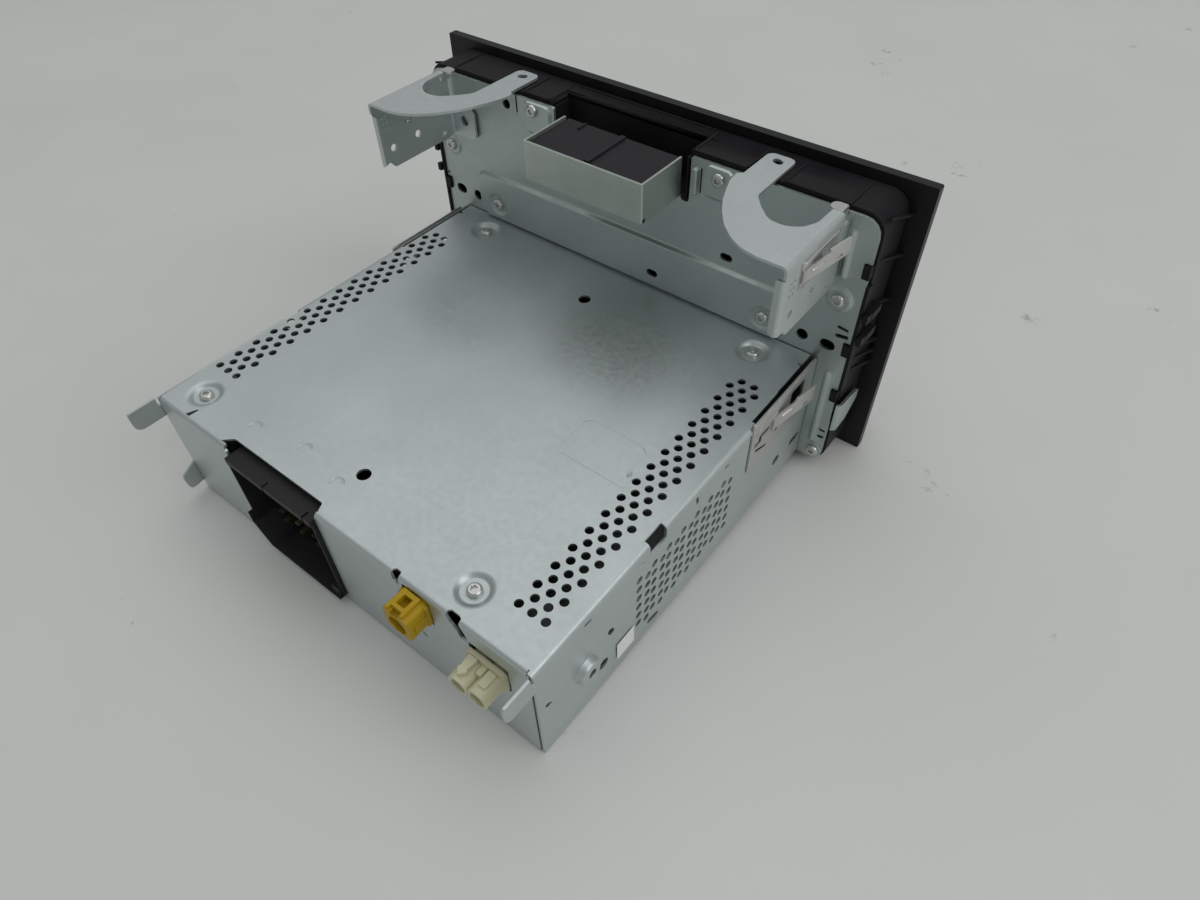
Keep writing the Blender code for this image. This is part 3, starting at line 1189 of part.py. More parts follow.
def build_housing():
    half = HOUSING_WIDTH / 2
    corner = HOUSING_CORNER
    outer = rounded(-half, half, HOUSING_BASE, HOUSING_TOP, corner)
    inner = rounded(-INNER_HALF, INNER_HALF, INNER_LOW, INNER_HIGH, corner - HOUSING_WALL)
    housing = sheet("housing", [outer, inner], HOUSING_DEPTH, "XZ", HOUSING_FRONT, BLACK)
    extras, cuts = bmesh.new(), bmesh.new()
    overlap = HOUSING_WALL / 2
    for side in (1, -1):
        for share in CLIP_LEVEL_SHARES:
            z = PLATE_HEIGHT * share
            block(extras, *mirrored((half - HOUSING_WALL + GAP, HOUSING_REAR - overlap,
                                     z - CLIP_HEIGHT / 2),
                                    (half - GAP, CLIP_PROUD, z + CLIP_HEIGHT / 2), side))
        for share in HOOK_LEVELS_SHARES:
            z = PLATE_HEIGHT * share
            rise = HOOK_HEIGHT / 2
            start = PLATE_WIDTH / 2 + GAP
            block(extras, *mirrored((half - overlap, HOUSING_REAR - HOOK_LENGTH, z - rise),
                                    (half + HOOK_REACH, HOUSING_REAR - GAP, z + rise), side))
            block(extras, *mirrored((start + GAP, HOUSING_REAR - overlap, z - rise + GAP),
                                    (half + HOOK_REACH - GAP, HOOK_PROUD, z + rise - GAP), side))
        for share in RIB_SHARES:
            z = HOUSING_TOP * share
            rib = block(extras, *mirrored((half - overlap, HOUSING_FRONT + GAP, z),
                                          (half + RIB_REACH, HOUSING_REAR - overlap, z + RIB_HEIGHT),
                                          side))
            for vert in rib:
                if vert.co.y > (HOUSING_FRONT + HOUSING_REAR) / 2:
                    vert.co.z += RIB_FALL
                    vert.co.x -= side * (RIB_REACH - GAP) if abs(vert.co.x) > half else 0
    boolean(housing, "clips_hooks_ribs", extras, "UNION", True)
    for share in GROOVE_SHARES:
        x = half * share
        block(cuts, (x - GROOVE_WIDTH / 2, HOUSING_FRONT - OVERRUN, HOUSING_TOP - GROOVE_DEPTH),
              (x + GROOVE_WIDTH / 2, HOUSING_REAR + OVERRUN, HOUSING_TOP + OVERRUN))
    right, left = RECESS_SPAN_SHARES
    block(cuts, (half * right, HOUSING_REAR - RECESS_DEPTH, INNER_HIGH - OVERRUN),
          (half * left, HOUSING_REAR + OVERRUN, HOUSING_TOP + OVERRUN))
    boolean(housing, "grooves_recess", cuts, crossing=True)


def key_places():
    places = []
    for side, label in ((1, "left"), (-1, "right")):
        for row in range(KEY_ROWS):
            places.append(("key_%s_%d" % (label, row + 1), side * KEY_PLACE, KEY_FIRST + KEY_STEP * row))
    return places


def build_fascia():
    half = FASCIA_WIDTH / 2
    fit = GAP
    outlines = [rounded(-half, half, FASCIA_BASE, FASCIA_TOP, FASCIA_CORNER, 2)]
    screen = SCREEN_WIDTH / 2
    outlines.append(rounded(-screen, screen, SCREEN_LOW, SCREEN_HIGH, SCREEN_CORNER, 2))
    for _, x, z in key_places():
        reach, rise = KEY_WIDTH / 2 + fit, KEY_HEIGHT / 2 + fit
        outlines.append(rectangle(x - reach, x + reach, z - rise, z + rise))
    reach, rise = EJECT_WIDTH / 2 + fit, EJECT_HEIGHT / 2 + fit
    outlines.append(rectangle(-reach, reach, EJECT_LEVEL - rise, EJECT_LEVEL + rise))
    disc, gap = SLOT_WIDTH / 2, SLOT_HEIGHT / 2
    outlines.append(rounded(-disc, disc, DISC_LEVEL - gap, DISC_LEVEL + gap, FASCIA_EDGE, 2))
    for side in (1, -1):
        outlines.append(circle((side * KNOB_PLACE, KNOB_LEVEL), SHAFT_RADIUS + SHAFT_CLEARANCE, 16))
        for z in REMOVAL_SLOT_LEVELS:
            x = side * REMOVAL_SLOT_PLACE
            outlines.append(rectangle(x - REMOVAL_SLOT_WIDTH / 2, x + REMOVAL_SLOT_WIDTH / 2,
                                      z - REMOVAL_SLOT_HEIGHT / 2, z + REMOVAL_SLOT_HEIGHT / 2))
    sheet("fascia", outlines, FASCIA_THICKNESS, "XZ", FASCIA_FRONT, SATIN)


def build_display():
    half = SCREEN_WIDTH / 2 - GAP
    glass = rounded(-half, half, SCREEN_LOW + GAP, SCREEN_HIGH - GAP, SCREEN_CORNER, 2)
    thickness = FASCIA_THICKNESS - SCREEN_INSET
    sheet("display_glass", [glass], thickness, "XZ", FASCIA_FRONT + SCREEN_INSET, GLASS)
    reach = SCREEN_WIDTH / 2 + PANEL_MARGIN
    top = min(SCREEN_HIGH + PANEL_MARGIN, INNER_HIGH - GAP)
    panel = rectangle(-reach, reach, SCREEN_LOW - PANEL_MARGIN, top)
    sheet("display_panel", [panel], FRONT_BOARD_SETBACK - GAP, "XZ", HOUSING_FRONT, ALUMINIUM)


def build_front_board():
    # The board with the keys' switches and the bodies of the two turning controls
    half = INNER_HALF - GAP
    fit = CHUTE_FIT
    outline = rounded(-half, half, INNER_LOW + GAP, INNER_HIGH - GAP, HOUSING_CORNER - HOUSING_WALL)
    disc = rectangle(-CHUTE_OUTER_HALF - fit, CHUTE_OUTER_HALF + fit, CHUTE_LOW - fit, CHUTE_HIGH + fit)
    board = sheet("front_board", [outline, disc], BOARD_THICKNESS, "XZ", FRONT_BOARD_FACE, GREEN)
    fittings, pockets = bmesh.new(), bmesh.new()
    root = FRONT_BOARD_FACE + BOARD_THICKNESS / 2
    side_length = SWITCH_SIDE / 2
    front = key_rear() + KEY_TRAVEL + SWITCH_SETBACK
    places = [(x, z) for _, x, z in key_places()] + [(0, EJECT_LEVEL)]
    for x, z in places:
        rise = min(side_length, EJECT_HEIGHT / 2)
        block(fittings, (x - side_length, front, z - rise), (x + side_length, root, z + rise))
    reach = ENCODER_SIDE / 2
    start = HOUSING_FRONT + GAP
    for side in (1, -1):
        x = side * KNOB_PLACE
        block(fittings, (x - reach, start, KNOB_LEVEL - reach), (x + reach, root, KNOB_LEVEL + reach))
        rod(pockets, (x, start, KNOB_LEVEL), "Y", SHAFT_RADIUS + SHAFT_CLEARANCE, 2 * SHAFT_SEAT, 16)
    boolean(board, "switches_and_controls", fittings, "UNION")
    boolean(board, "pockets", pockets)


def key_rear():
    return FASCIA_REAR + GAP + KEY_LIP_THICKNESS + KEY_STEM_LENGTH


def build_key(name, x, z, width, height):
    # A cap in its window, a lip behind the panel and a stem towards the switch
    bm = bmesh.new()
    reach, rise = width / 2 + KEY_LIP, height / 2 + KEY_LIP
    lip_front = FASCIA_REAR + GAP
    block(bm, (x - reach, lip_front, z - rise), (x + reach, lip_front + KEY_LIP_THICKNESS, z + rise))
    front = facing(bm, (0, -1, 0))
    grow(bm, front, KEY_LIP, GAP + FASCIA_THICKNESS + KEY_PROUD)
    rear = facing(bm, (0, 1, 0))
    grow(bm, rear, min(reach, rise) - KEY_STEM / 2 if height > KEY_STEM else KEY_LIP, KEY_STEM_LENGTH)
    bmesh.ops.recalc_face_normals(bm, faces=bm.faces)
    key = from_bmesh(name, bm, SATIN)
    move_origin(key, (x, FASCIA_REAR, z))
    bevel = key.modifiers.new("edges", "BEVEL")
    bevel.width = GAP
    bevel.segments = 1
    bevel.limit_method = "ANGLE"


def build_controls():
    for label, side in (("volume", 1), ("tune", -1)):
        centre = (side * KNOB_PLACE, FASCIA_FRONT, KNOB_LEVEL)
        rear = HOUSING_FRONT + GAP + SHAFT_SEAT - GAP - PUSH_TRAVEL - FASCIA_FRONT
        front = -KNOB_SETOFF - KNOB_LENGTH
        tip = front + KNOB_CAP + GAP
        turned(label + "_shaft",
               [(0, rear), (SHAFT_RADIUS, rear), (SHAFT_RADIUS, tip), (0, tip)], BRIGHT, "Y",
               centre, 16)
        build_knob(label + "_knob", centre, front)


def build_knob(name, centre, front):
    # A cup with a hub that is bored for the shaft
    bore, inner = SHAFT_RADIUS + GAP, KNOB_RADIUS - KNOB_WALL
    floor, rear = front + KNOB_CAP, -KNOB_SETOFF
    profile = [(0, floor), (bore, floor), (bore, rear), (KNOB_HUB, rear), (KNOB_HUB, floor),
               (inner, floor), (inner, rear), (KNOB_RADIUS, rear),
               (KNOB_RADIUS, front + KNOB_CHAMFER), (KNOB_RADIUS - KNOB_CHAMFER, front), (0, front)]
    turned(name, profile, SATIN, "Y", centre, KNOB_SIDES)


def build_all():
    build_top_cover()
    build_base_plate()
    build_side_walls()
    build_rear_wall()
    build_label()
    build_cover_screws()
    build_header()
    build_aerial_sockets()
    build_main_board()
    build_tuner_and_sink()
    build_ribbon()
    build_drive()
    build_sled()
    build_roller()
    build_chute()
    build_front_plate()
    build_rear_box()
    build_bracket("half_moon_bracket_left", 1)
    build_bracket("half_moon_bracket_right", -1)
    build_clip_plates()
    for label, side in (("left", 1), ("right", -1)):
        build_tongue("clip_tongue_low_" + label, side, LOW_TONGUE_BASE)
        build_tongue("clip_tongue_high_" + label, side, HIGH_TONGUE_BASE)
    build_housing()
    build_fascia()
    build_display()
    build_front_board()
    for name, x, z in key_places():
        build_key(name, x, z, KEY_WIDTH, KEY_HEIGHT)
    build_key("eject_key", 0, EJECT_LEVEL, EJECT_WIDTH, EJECT_HEIGHT)
    build_controls()


build_all()
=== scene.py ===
# The car radio seen from behind: folded zinc steel, black front, coloured sockets.
import bmesh
import bpy
import math
from mathutils import Matrix, Vector


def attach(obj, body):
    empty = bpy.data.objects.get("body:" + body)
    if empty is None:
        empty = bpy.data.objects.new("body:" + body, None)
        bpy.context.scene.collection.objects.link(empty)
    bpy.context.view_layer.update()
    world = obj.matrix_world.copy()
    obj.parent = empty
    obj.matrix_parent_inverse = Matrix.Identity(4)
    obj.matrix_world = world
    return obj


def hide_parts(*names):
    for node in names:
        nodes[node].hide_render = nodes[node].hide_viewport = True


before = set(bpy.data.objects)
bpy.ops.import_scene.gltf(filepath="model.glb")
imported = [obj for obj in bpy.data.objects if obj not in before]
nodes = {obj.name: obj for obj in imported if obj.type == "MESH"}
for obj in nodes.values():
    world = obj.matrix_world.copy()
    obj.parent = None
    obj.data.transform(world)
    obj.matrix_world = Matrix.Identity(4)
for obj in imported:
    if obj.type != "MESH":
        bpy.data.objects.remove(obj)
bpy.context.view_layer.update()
scene = bpy.context.scene
print("radio: frame loaded,", len(nodes), "nodes")

# Everything is drawn in millimetres from the rear face of the front plate,
# then moved to the shared frame, whose origin is under the middle of the chassis.
mm = 0.001
plateToMiddle = 79.5
toFrame = Matrix.Translation((0, -plateToMiddle * mm, 0)) @ Matrix.Scale(mm, 4)


def placed(x, y, z):
    return toFrame @ Vector((x, y, z))


# finishes

def nodeGroup(name, inputs, outputs):
    group = bpy.data.node_groups.new(name, "ShaderNodeTree")
    for label, kind, default in inputs:
        socket = group.interface.new_socket(label, in_out="INPUT", socket_type=kind)
        socket.default_value = default
    for label, kind in outputs:
        group.interface.new_socket(label, in_out="OUTPUT", socket_type=kind)
    return group, group.nodes.new("NodeGroupInput"), group.nodes.new("NodeGroupOutput")


def addNode(tree, kind, **settings):
    node = tree.nodes.new(kind)
    for key, value in settings.items():
        if key in node.inputs:
            node.inputs[key].default_value = value
        else:
            setattr(node, key, value)
    return node


def noise(tree, vector, scale, detail=3.0, roughness=0.55):
    node = addNode(tree, "ShaderNodeTexNoise", Scale=scale, Detail=detail, Roughness=roughness)
    tree.links.new(vector, node.inputs["Vector"])
    return node.outputs["Fac"]


def remap(tree, value, low, high, toLow=0.0, toHigh=1.0):
    node = tree.nodes.new("ShaderNodeMapRange")
    node.inputs["From Min"].default_value = low
    node.inputs["From Max"].default_value = high
    node.inputs["To Min"].default_value = toLow
    node.inputs["To Max"].default_value = toHigh
    tree.links.new(value, node.inputs["Value"])
    return node.outputs["Result"]


def maths(tree, operation, a, b):
    node = tree.nodes.new("ShaderNodeMath")
    node.operation = operation
    for index, value in enumerate((a, b)):
        if isinstance(value, (int, float)):
            node.inputs[index].default_value = value
        else:
            tree.links.new(value, node.inputs[index])
    return node.outputs["Value"]


def mixed(tree, factor, a, b):
    node = tree.nodes.new("ShaderNodeMix")
    node.data_type = "RGBA"
    for socket, value in ((node.inputs[0], factor), (node.inputs[6], a), (node.inputs[7], b)):
        if isinstance(value, (int, float, tuple)):
            socket.default_value = value
        else:
            tree.links.new(value, socket)
    return node.outputs[2]


def makeMottle():
    # broad cloudy tone, plus small specks, both as masks
    group, start, end = nodeGroup(
        "radioMottle",
        [("Vector", "NodeSocketVector", (0, 0, 0)), ("Cloud Scale", "NodeSocketFloat", 30.0),
         ("Speck Scale", "NodeSocketFloat", 900.0)],
        [("Cloud", "NodeSocketFloat"), ("Specks", "NodeSocketFloat")])
    cloud = addNode(group, "ShaderNodeTexNoise", Detail=4.0, Roughness=0.6)
    group.links.new(start.outputs["Vector"], cloud.inputs["Vector"])
    group.links.new(start.outputs["Cloud Scale"], cloud.inputs["Scale"])
    specks = addNode(group, "ShaderNodeTexNoise", Detail=2.0, Roughness=0.5)
    group.links.new(start.outputs["Vector"], specks.inputs["Vector"])
    group.links.new(start.outputs["Speck Scale"], specks.inputs["Scale"])
    group.links.new(remap(group, cloud.outputs["Fac"], 0.3, 0.7), end.inputs["Cloud"])
    group.links.new(remap(group, specks.outputs["Fac"], 0.66, 0.78), end.inputs["Specks"])
    return group


def makeScratches():
    # thin marks in two directions, broken up by a slow noise
    group, start, end = nodeGroup(
        "radioScratches",
        [("Vector", "NodeSocketVector", (0, 0, 0)), ("Size", "NodeSocketFloat", 1.0)],
        [("Marks", "NodeSocketFloat")])
    marks = None
    for turn, squeeze in ((0.5, 60.0), (-0.9, 45.0), (1.35, 70.0)):
        mapping = addNode(group, "ShaderNodeMapping")
        mapping.inputs["Rotation"].default_value = (turn * 0.4, turn * 0.3, turn)
        mapping.inputs["Scale"].default_value = (squeeze, 3.0, 20.0)
        group.links.new(start.outputs["Vector"], mapping.inputs["Vector"])
        streak = addNode(group, "ShaderNodeTexNoise", Scale=12.0, Detail=1.0, Roughness=0.4)
        group.links.new(mapping.outputs["Vector"], streak.inputs["Vector"])
        line = remap(group, streak.outputs["Fac"], 0.70, 0.78)
        marks = line if marks is None else maths(group, "MAXIMUM", marks, line)
    patch = noise(group, start.outputs["Vector"], 25.0, 2.0)
    marks = maths(group, "MULTIPLY", marks, remap(group, patch, 0.5, 0.62))
    marks = maths(group, "MULTIPLY", marks, start.outputs["Size"])
    group.links.new(marks, end.inputs["Marks"])
    return group


def makeGrain():
    # fine leathery grain of moulded plastic, as a height
    group, start, end = nodeGroup(
        "radioGrain",
        [("Vector", "NodeSocketVector", (0, 0, 0)), ("Scale", "NodeSocketFloat", 1500.0)],
        [("Height", "NodeSocketFloat")])
    coarse = addNode(group, "ShaderNodeTexVoronoi")
    group.links.new(start.outputs["Vector"], coarse.inputs["Vector"])
    group.links.new(start.outputs["Scale"], coarse.inputs["Scale"])
    group.links.new(coarse.outputs["Distance"], end.inputs["Height"])
    return group


mottleGroup, scratchGroup, grainGroup = makeMottle(), makeScratches(), makeGrain()


def useGroup(tree, group, **values):
    node = tree.nodes.new("ShaderNodeGroup")
    node.node_tree = group
    for key, value in values.items():
        node.inputs[key.replace("_", " ")].default_value = value
    return node


def newMaterial(name):
    material = bpy.data.materials.new(name)
    material.use_nodes = True
    tree = material.node_tree
    shader = tree.nodes["Principled BSDF"]
    where = tree.nodes.new("ShaderNodeTexCoord").outputs["Object"]
    return material, tree, shader, where


zinc = {"cloudScale": 28.0, "sparkleScale": 420.0, "metallic": 0.86, "markGloss": 0.1,
        "rustScale": 260.0, "rustColour": (0.16, 0.10, 0.06, 1.0),
        "waveScale": 90.0, "waveStrength": 0.02, "waveDepth": 0.0002}


def zincSteel(name, colour, rough, cloudy, marked, rust=0.0):
    # satin zinc plating: cloudy tone, fine scratches, a faint sparkle in the gloss
    material, tree, shader, where = newMaterial(name)
    mottle = useGroup(tree, mottleGroup, Cloud_Scale=zinc["cloudScale"])
    scratch = useGroup(tree, scratchGroup, Size=marked)
    for group in (mottle, scratch):
        tree.links.new(where, group.inputs["Vector"])
    dark = tuple(c * (1 - cloudy) for c in colour) + (1.0,)
    light = tuple(min(1.0, c * (1 + cloudy * 0.6)) for c in colour) + (1.0,)
    tone = mixed(tree, mottle.outputs["Cloud"], dark, light)
    bright = tuple(min(1.0, c * 1.35) for c in colour) + (1.0,)
    tone = mixed(tree, scratch.outputs["Marks"], tone, bright)
    if rust:
        spots = remap(tree, noise(tree, where, zinc["rustScale"], 4.0, 0.7), 0.66, 0.74, 0.0, rust)
        tone = mixed(tree, spots, tone, zinc["rustColour"])
    tree.links.new(tone, shader.inputs["Base Color"])
    sparkle = noise(tree, where, zinc["sparkleScale"], 2.0)
    gloss = remap(tree, sparkle, 0.3, 0.7, rough - 0.05, rough + 0.06)
    polish = maths(tree, "MULTIPLY", scratch.outputs["Marks"], zinc["markGloss"])
    tree.links.new(maths(tree, "SUBTRACT", gloss, polish), shader.inputs["Roughness"])
    shader.inputs["Metallic"].default_value = zinc["metallic"]
    bump = addNode(tree, "ShaderNodeBump", Strength=zinc["waveStrength"],
                   Distance=zinc["waveDepth"])
    tree.links.new(noise(tree, where, zinc["waveScale"], 3.0), bump.inputs["Height"])
    tree.links.new(bump.outputs["Normal"], shader.inputs["Normal"])
    return material


plastic = {"cloudScale": 45.0, "speckScale": 1100.0, "grainScale": 1500.0, "grainDepth": 0.00008}


def mouldedPlastic(name, colour, rough, grain, dusty, gleam=0.4, scale=plastic["grainScale"]):
    # grained plastic with a little dust in its cloudier patches
    material, tree, shader, where = newMaterial(name)
    mottle = useGroup(tree, mottleGroup, Cloud_Scale=plastic["cloudScale"],
                      Speck_Scale=plastic["speckScale"])
    texture = useGroup(tree, grainGroup, Scale=scale)
    for group in (mottle, texture):
        tree.links.new(where, group.inputs["Vector"])
    base = colour + (1.0,)
    dust = tuple(c * 0.75 + 0.045 for c in colour) + (1.0,)
    tone = mixed(tree, maths(tree, "MULTIPLY", mottle.outputs["Cloud"], dusty), base, dust)
    tone = mixed(tree, maths(tree, "MULTIPLY", mottle.outputs["Specks"], dusty * 0.6), tone,
                 tuple(min(1.0, c * 1.5 + 0.05) for c in colour) + (1.0,))
    tree.links.new(tone, shader.inputs["Base Color"])
    tree.links.new(remap(tree, mottle.outputs["Cloud"], 0.0, 1.0, rough - 0.05, rough + 0.07),
                   shader.inputs["Roughness"])
    shader.inputs["Specular IOR Level"].default_value = gleam
    bump = addNode(tree, "ShaderNodeBump", Strength=grain, Distance=plastic["grainDepth"])
    tree.links.new(texture.outputs["Height"], bump.inputs["Height"])
    tree.links.new(bump.outputs["Normal"], shader.inputs["Normal"])
    return material


def polishedMetal(name, colour, rough):
    # screws, contacts and shafts: bright, a little uneven in tone and gloss
    material, tree, shader, where = newMaterial(name)
    mottle = useGroup(tree, mottleGroup, Cloud_Scale=160.0)
    tree.links.new(where, mottle.inputs["Vector"])
    tone = mixed(tree, mottle.outputs["Cloud"], tuple(c * 0.82 for c in colour) + (1.0,),
                 colour + (1.0,))
    tree.links.new(tone, shader.inputs["Base Color"])
    tree.links.new(remap(tree, mottle.outputs["Cloud"], 0.0, 1.0, rough - 0.06, rough + 0.1),
                   shader.inputs["Roughness"])
    shader.inputs["Metallic"].default_value = 0.95
    return material


def boardMaterial(name):
    # green solder mask with faint copper tracks under it
    material, tree, shader, where = newMaterial(name)
    tracks = addNode(tree, "ShaderNodeTexBrick", Scale=160.0)
    tracks.inputs["Mortar Size"].default_value = 0.03
    tree.links.new(where, tracks.inputs["Vector"])
    tone = mixed(tree, tracks.outputs["Fac"], (0.012, 0.075, 0.035, 1.0), (0.03, 0.14, 0.06, 1.0))
    tree.links.new(tone, shader.inputs["Base Color"])
    tree.links.new(remap(tree, noise(tree, where, 200.0), 0.3, 0.7, 0.35, 0.5),
                   shader.inputs["Roughness"])
    return material


def glassMaterial(name):
    # dark screen glass with faint wiping marks in its gloss
    material, tree, shader, where = newMaterial(name)
    smear = noise(tree, where, 35.0, 5.0, 0.65)
    tree.links.new(remap(tree, smear, 0.4, 0.7, 0.03, 0.14), shader.inputs["Roughness"])
    tone = mixed(tree, remap(tree, smear, 0.3, 0.8), (0.006, 0.006, 0.008, 1.0),
                 (0.012, 0.012, 0.015, 1.0))
    tree.links.new(tone, shader.inputs["Base Color"])
    shader.inputs["Coat Weight"].default_value = 0.6
    return material


# colours are linear; rough is the gloss, cloudy and marked the unevenness of the plating
coverZinc = zincSteel("coverZinc", (0.545, 0.597, 0.592), rough=0.42, cloudy=0.06, marked=0.15)
plateZinc = zincSteel("plateZinc", (0.47, 0.53, 0.51), rough=0.40, cloudy=0.08, marked=0.12)
bracketZinc = zincSteel("bracketZinc", (0.58, 0.625, 0.615), rough=0.46, cloudy=0.05, marked=0.2,
                        rust=0.25)
wrapZinc = zincSteel("wrapZinc", (0.53, 0.58, 0.53), rough=0.38, cloudy=0.16, marked=0.2)
springSteel = zincSteel("springSteel", (0.60, 0.59, 0.57), rough=0.33, cloudy=0.08, marked=0.8)
innerSteel = zincSteel("innerSteel", (0.12, 0.13, 0.125), rough=0.5, cloudy=0.1, marked=0.2)
screwSteel = polishedMetal("screwSteel", (0.66, 0.67, 0.64), rough=0.24)
contactTin = polishedMetal("contactTin", (0.30, 0.25, 0.15), rough=0.4)
sinkAluminium = polishedMetal("sinkAluminium", (0.72, 0.73, 0.74), rough=0.4)
housingBlack = mouldedPlastic("housingBlack", (0.012, 0.011, 0.013), rough=0.5, grain=0.3,
                              dusty=0.14, gleam=0.14)
panelBlack = mouldedPlastic("panelBlack", (0.008, 0.008, 0.009), rough=0.38, grain=0.2,
                            dusty=0.12, gleam=0.25, scale=2200.0)
socketBlack = mouldedPlastic("socketBlack", (0.010, 0.010, 0.011), rough=0.5, grain=0.2,
                             dusty=0.15, gleam=0.3)
insertBlack = mouldedPlastic("insertBlack", (0.014, 0.013, 0.016), rough=0.55, grain=0.25,
                             dusty=0.2, gleam=0.25)
ochrePlastic = mouldedPlastic("ochrePlastic", (0.45, 0.285, 0.006), rough=0.42, grain=0.1,
                              dusty=0.03, gleam=0.25, scale=1800.0)
creamPlastic = mouldedPlastic("creamPlastic", (0.61, 0.59, 0.40), rough=0.42, grain=0.1,
                              dusty=0.1, scale=1800.0)
rollerRubber = mouldedPlastic("rollerRubber", (0.03, 0.03, 0.03), rough=0.75, grain=0.2, dusty=0.3)
labelPaper = mouldedPlastic("labelPaper", (0.84, 0.85, 0.83), rough=0.6, grain=0.05, dusty=0.1,
                            scale=2500.0)
boardGreen = boardMaterial("boardGreen")
screenGlass = glassMaterial("screenGlass")
print("radio: finishes made")


# drawing tools: u, v across a face and w out of it, for the faces that the radio is made of
facingUp = Matrix.Identity(4)
facingRear = Matrix(((1, 0, 0, 0), (0, 0, 1, 0), (0, 1, 0, 0), (0, 0, 0, 1)))
facingRight = Matrix(((0, 0, -1, 0), (1, 0, 0, 0), (0, 1, 0, 0), (0, 0, 0, 1)))
facingLeft = Matrix(((0, 0, 1, 0), (1, 0, 0, 0), (0, 1, 0, 0), (0, 0, 0, 1)))
facingSide = {1: facingLeft, -1: facingRight}
sideName = {1: "Left", -1: "Right"}


def shifted(plane, w):
    return plane @ Matrix.Translation((0, 0, w))


def ring(u, v, radius, count=20):
    return [(u + radius * math.cos(math.tau * i / count),
             v + radius * math.sin(math.tau * i / count)) for i in range(count)]


def arcOf(u, v, radius, start, end, steps):
    return [(u + radius * math.cos(math.radians(start + (end - start) * i / steps)),
             v + radius * math.sin(math.radians(start + (end - start) * i / steps)))
            for i in range(steps + 1)]


def oblong(u, v, length, width, turn=0.0, steps=6):
    r, reach = width / 2, (length - width) / 2
    points = arcOf(reach, 0, r, -90, 90, steps) + arcOf(-reach, 0, r, 90, 270, steps)
    c, s = math.cos(math.radians(turn)), math.sin(math.radians(turn))
    return [(u + a * c - b * s, v + a * s + b * c) for a, b in points]


def rounded(corners, steps=4):
    # corners are (u, v) or (u, v, radius); each radius becomes an arc
    points = []
    count = len(corners)
    for i, corner in enumerate(corners):
        radius = corner[2] if len(corner) > 2 else 0
        here = Vector(corner[:2])
        if not radius:
            points.append(tuple(here))
            continue
        back = Vector(corners[i - 1][:2]) - here
        ahead = Vector(corners[(i + 1) % count][:2]) - here
        a, b = back.normalized(), ahead.normalized()
        half = a.angle(b) / 2
        reach = min(radius / math.tan(half), back.length * 0.49, ahead.length * 0.49)
        trueRadius = reach * math.tan(half)
        middle = here + (a + b).normalized() * (trueRadius / math.sin(half))
        first, last = here + a * reach - middle, here + b * reach - middle
        swing = first.angle_signed(last)
        for k in range(steps + 1):
            angle = -swing * k / steps
            c, s = math.cos(angle), math.sin(angle)
            points.append((middle.x + first.x * c - first.y * s, middle.y + first.x * s + first.y * c))
    return points


def rectangle(u0, u1, v0, v1, radius=0.0, steps=4):
    return rounded([(u0, v0, radius), (u1, v0, radius), (u1, v1, radius), (u0, v1, radius)], steps)


def roundRims(u, v, profile, count, level=0):
    # rims of a round pressing, from its (radius, height) profile
    return [(ring(u, v, radius, count), level + height) for radius, height in profile]


def slotRims(u, v, profile, steps):
    # rims of an upright oblong pressing, from its (length, width, height) profile
    return [(oblong(u, v, length, width, 90, steps), height) for length, width, height in profile]


def mirrored(side, points):
    # an outline drawn for the left, put on the side asked for
    return [(side * point[0],) + tuple(point[1:]) for point in points]


def drawLoop(bm, points, plane, lift=0.0):
    verts = []
    for point in points:
        w = point[2] if len(point) > 2 else lift
        verts.append(bm.verts.new(plane @ Vector((point[0], point[1], w))))
    return [bm.edges.new((verts[i - 1], verts[i])) for i in range(len(verts))]


def fillLoops(bm, edges, plane):
    normal = plane.to_3x3() @ Vector((0, 0, 1))
    made = bmesh.ops.triangle_fill(bm, use_beauty=True, use_dissolve=False, edges=edges,
                                   normal=normal)
    return [f for f in made["geom"] if isinstance(f, bmesh.types.BMFace)]


def fillFlat(bm, loops, plane, lift=0.0):
    # a flat sheet: the first loop is its outline, the others are holes
    edges = []
    for points in loops:
        edges += drawLoop(bm, points, plane, lift)
    return fillLoops(bm, edges, plane)


def press(bm, plane, rims, holes=(), closed=True):
    # a pressed feature: rims are (points, lift), from the sheet to the floor
    loops = [drawLoop(bm, points, plane, lift) for points, lift in rims]
    for one, other in zip(loops, loops[1:]):
        bmesh.ops.bridge_loops(bm, edges=one + other)
    if closed:
        edges = list(loops[-1])
        for points in holes:
            edges += drawLoop(bm, points, plane, rims[-1][1])
        fillLoops(bm, edges, plane)


def foldEdge(bm, ends, centre, axis, angle, steps=5):
    # the curved strip of a fold: a line swung about the fold's axis
    verts = [bm.verts.new(point) for point in ends]
    edge = bm.edges.new(verts)
    bmesh.ops.spin(bm, geom=verts + [edge], cent=centre, axis=axis, angle=math.radians(angle),
                   steps=steps, use_merge=False, use_normal_flip=False, use_duplicate=False)


def thicken(bm, faces, direction):
    # a plate of full thickness from filled faces
    made = bmesh.ops.extrude_face_region(bm, geom=faces)["geom"]
    bmesh.ops.translate(bm, verts=[v for v in made if isinstance(v, bmesh.types.BMVert)],
                        vec=direction)


def slab(bm, loops, plane, low, high):
    # a solid plate between two heights over a plane
    faces = fillFlat(bm, loops, plane, low)
    thicken(bm, faces, plane.to_3x3() @ Vector((0, 0, high - low)))


def brick(bm, x0, x1, y0, y1, z0, z1):
    matrix = (Matrix.Translation(((x0 + x1) / 2, (y0 + y1) / 2, (z0 + z1) / 2))
              @ Matrix.Diagonal((abs(x1 - x0), abs(y1 - y0), abs(z1 - z0), 1)))
    return bmesh.ops.create_cube(bm, size=1, matrix=matrix)["verts"]


joining = {"weld": 0.004, "softAngle": 35}


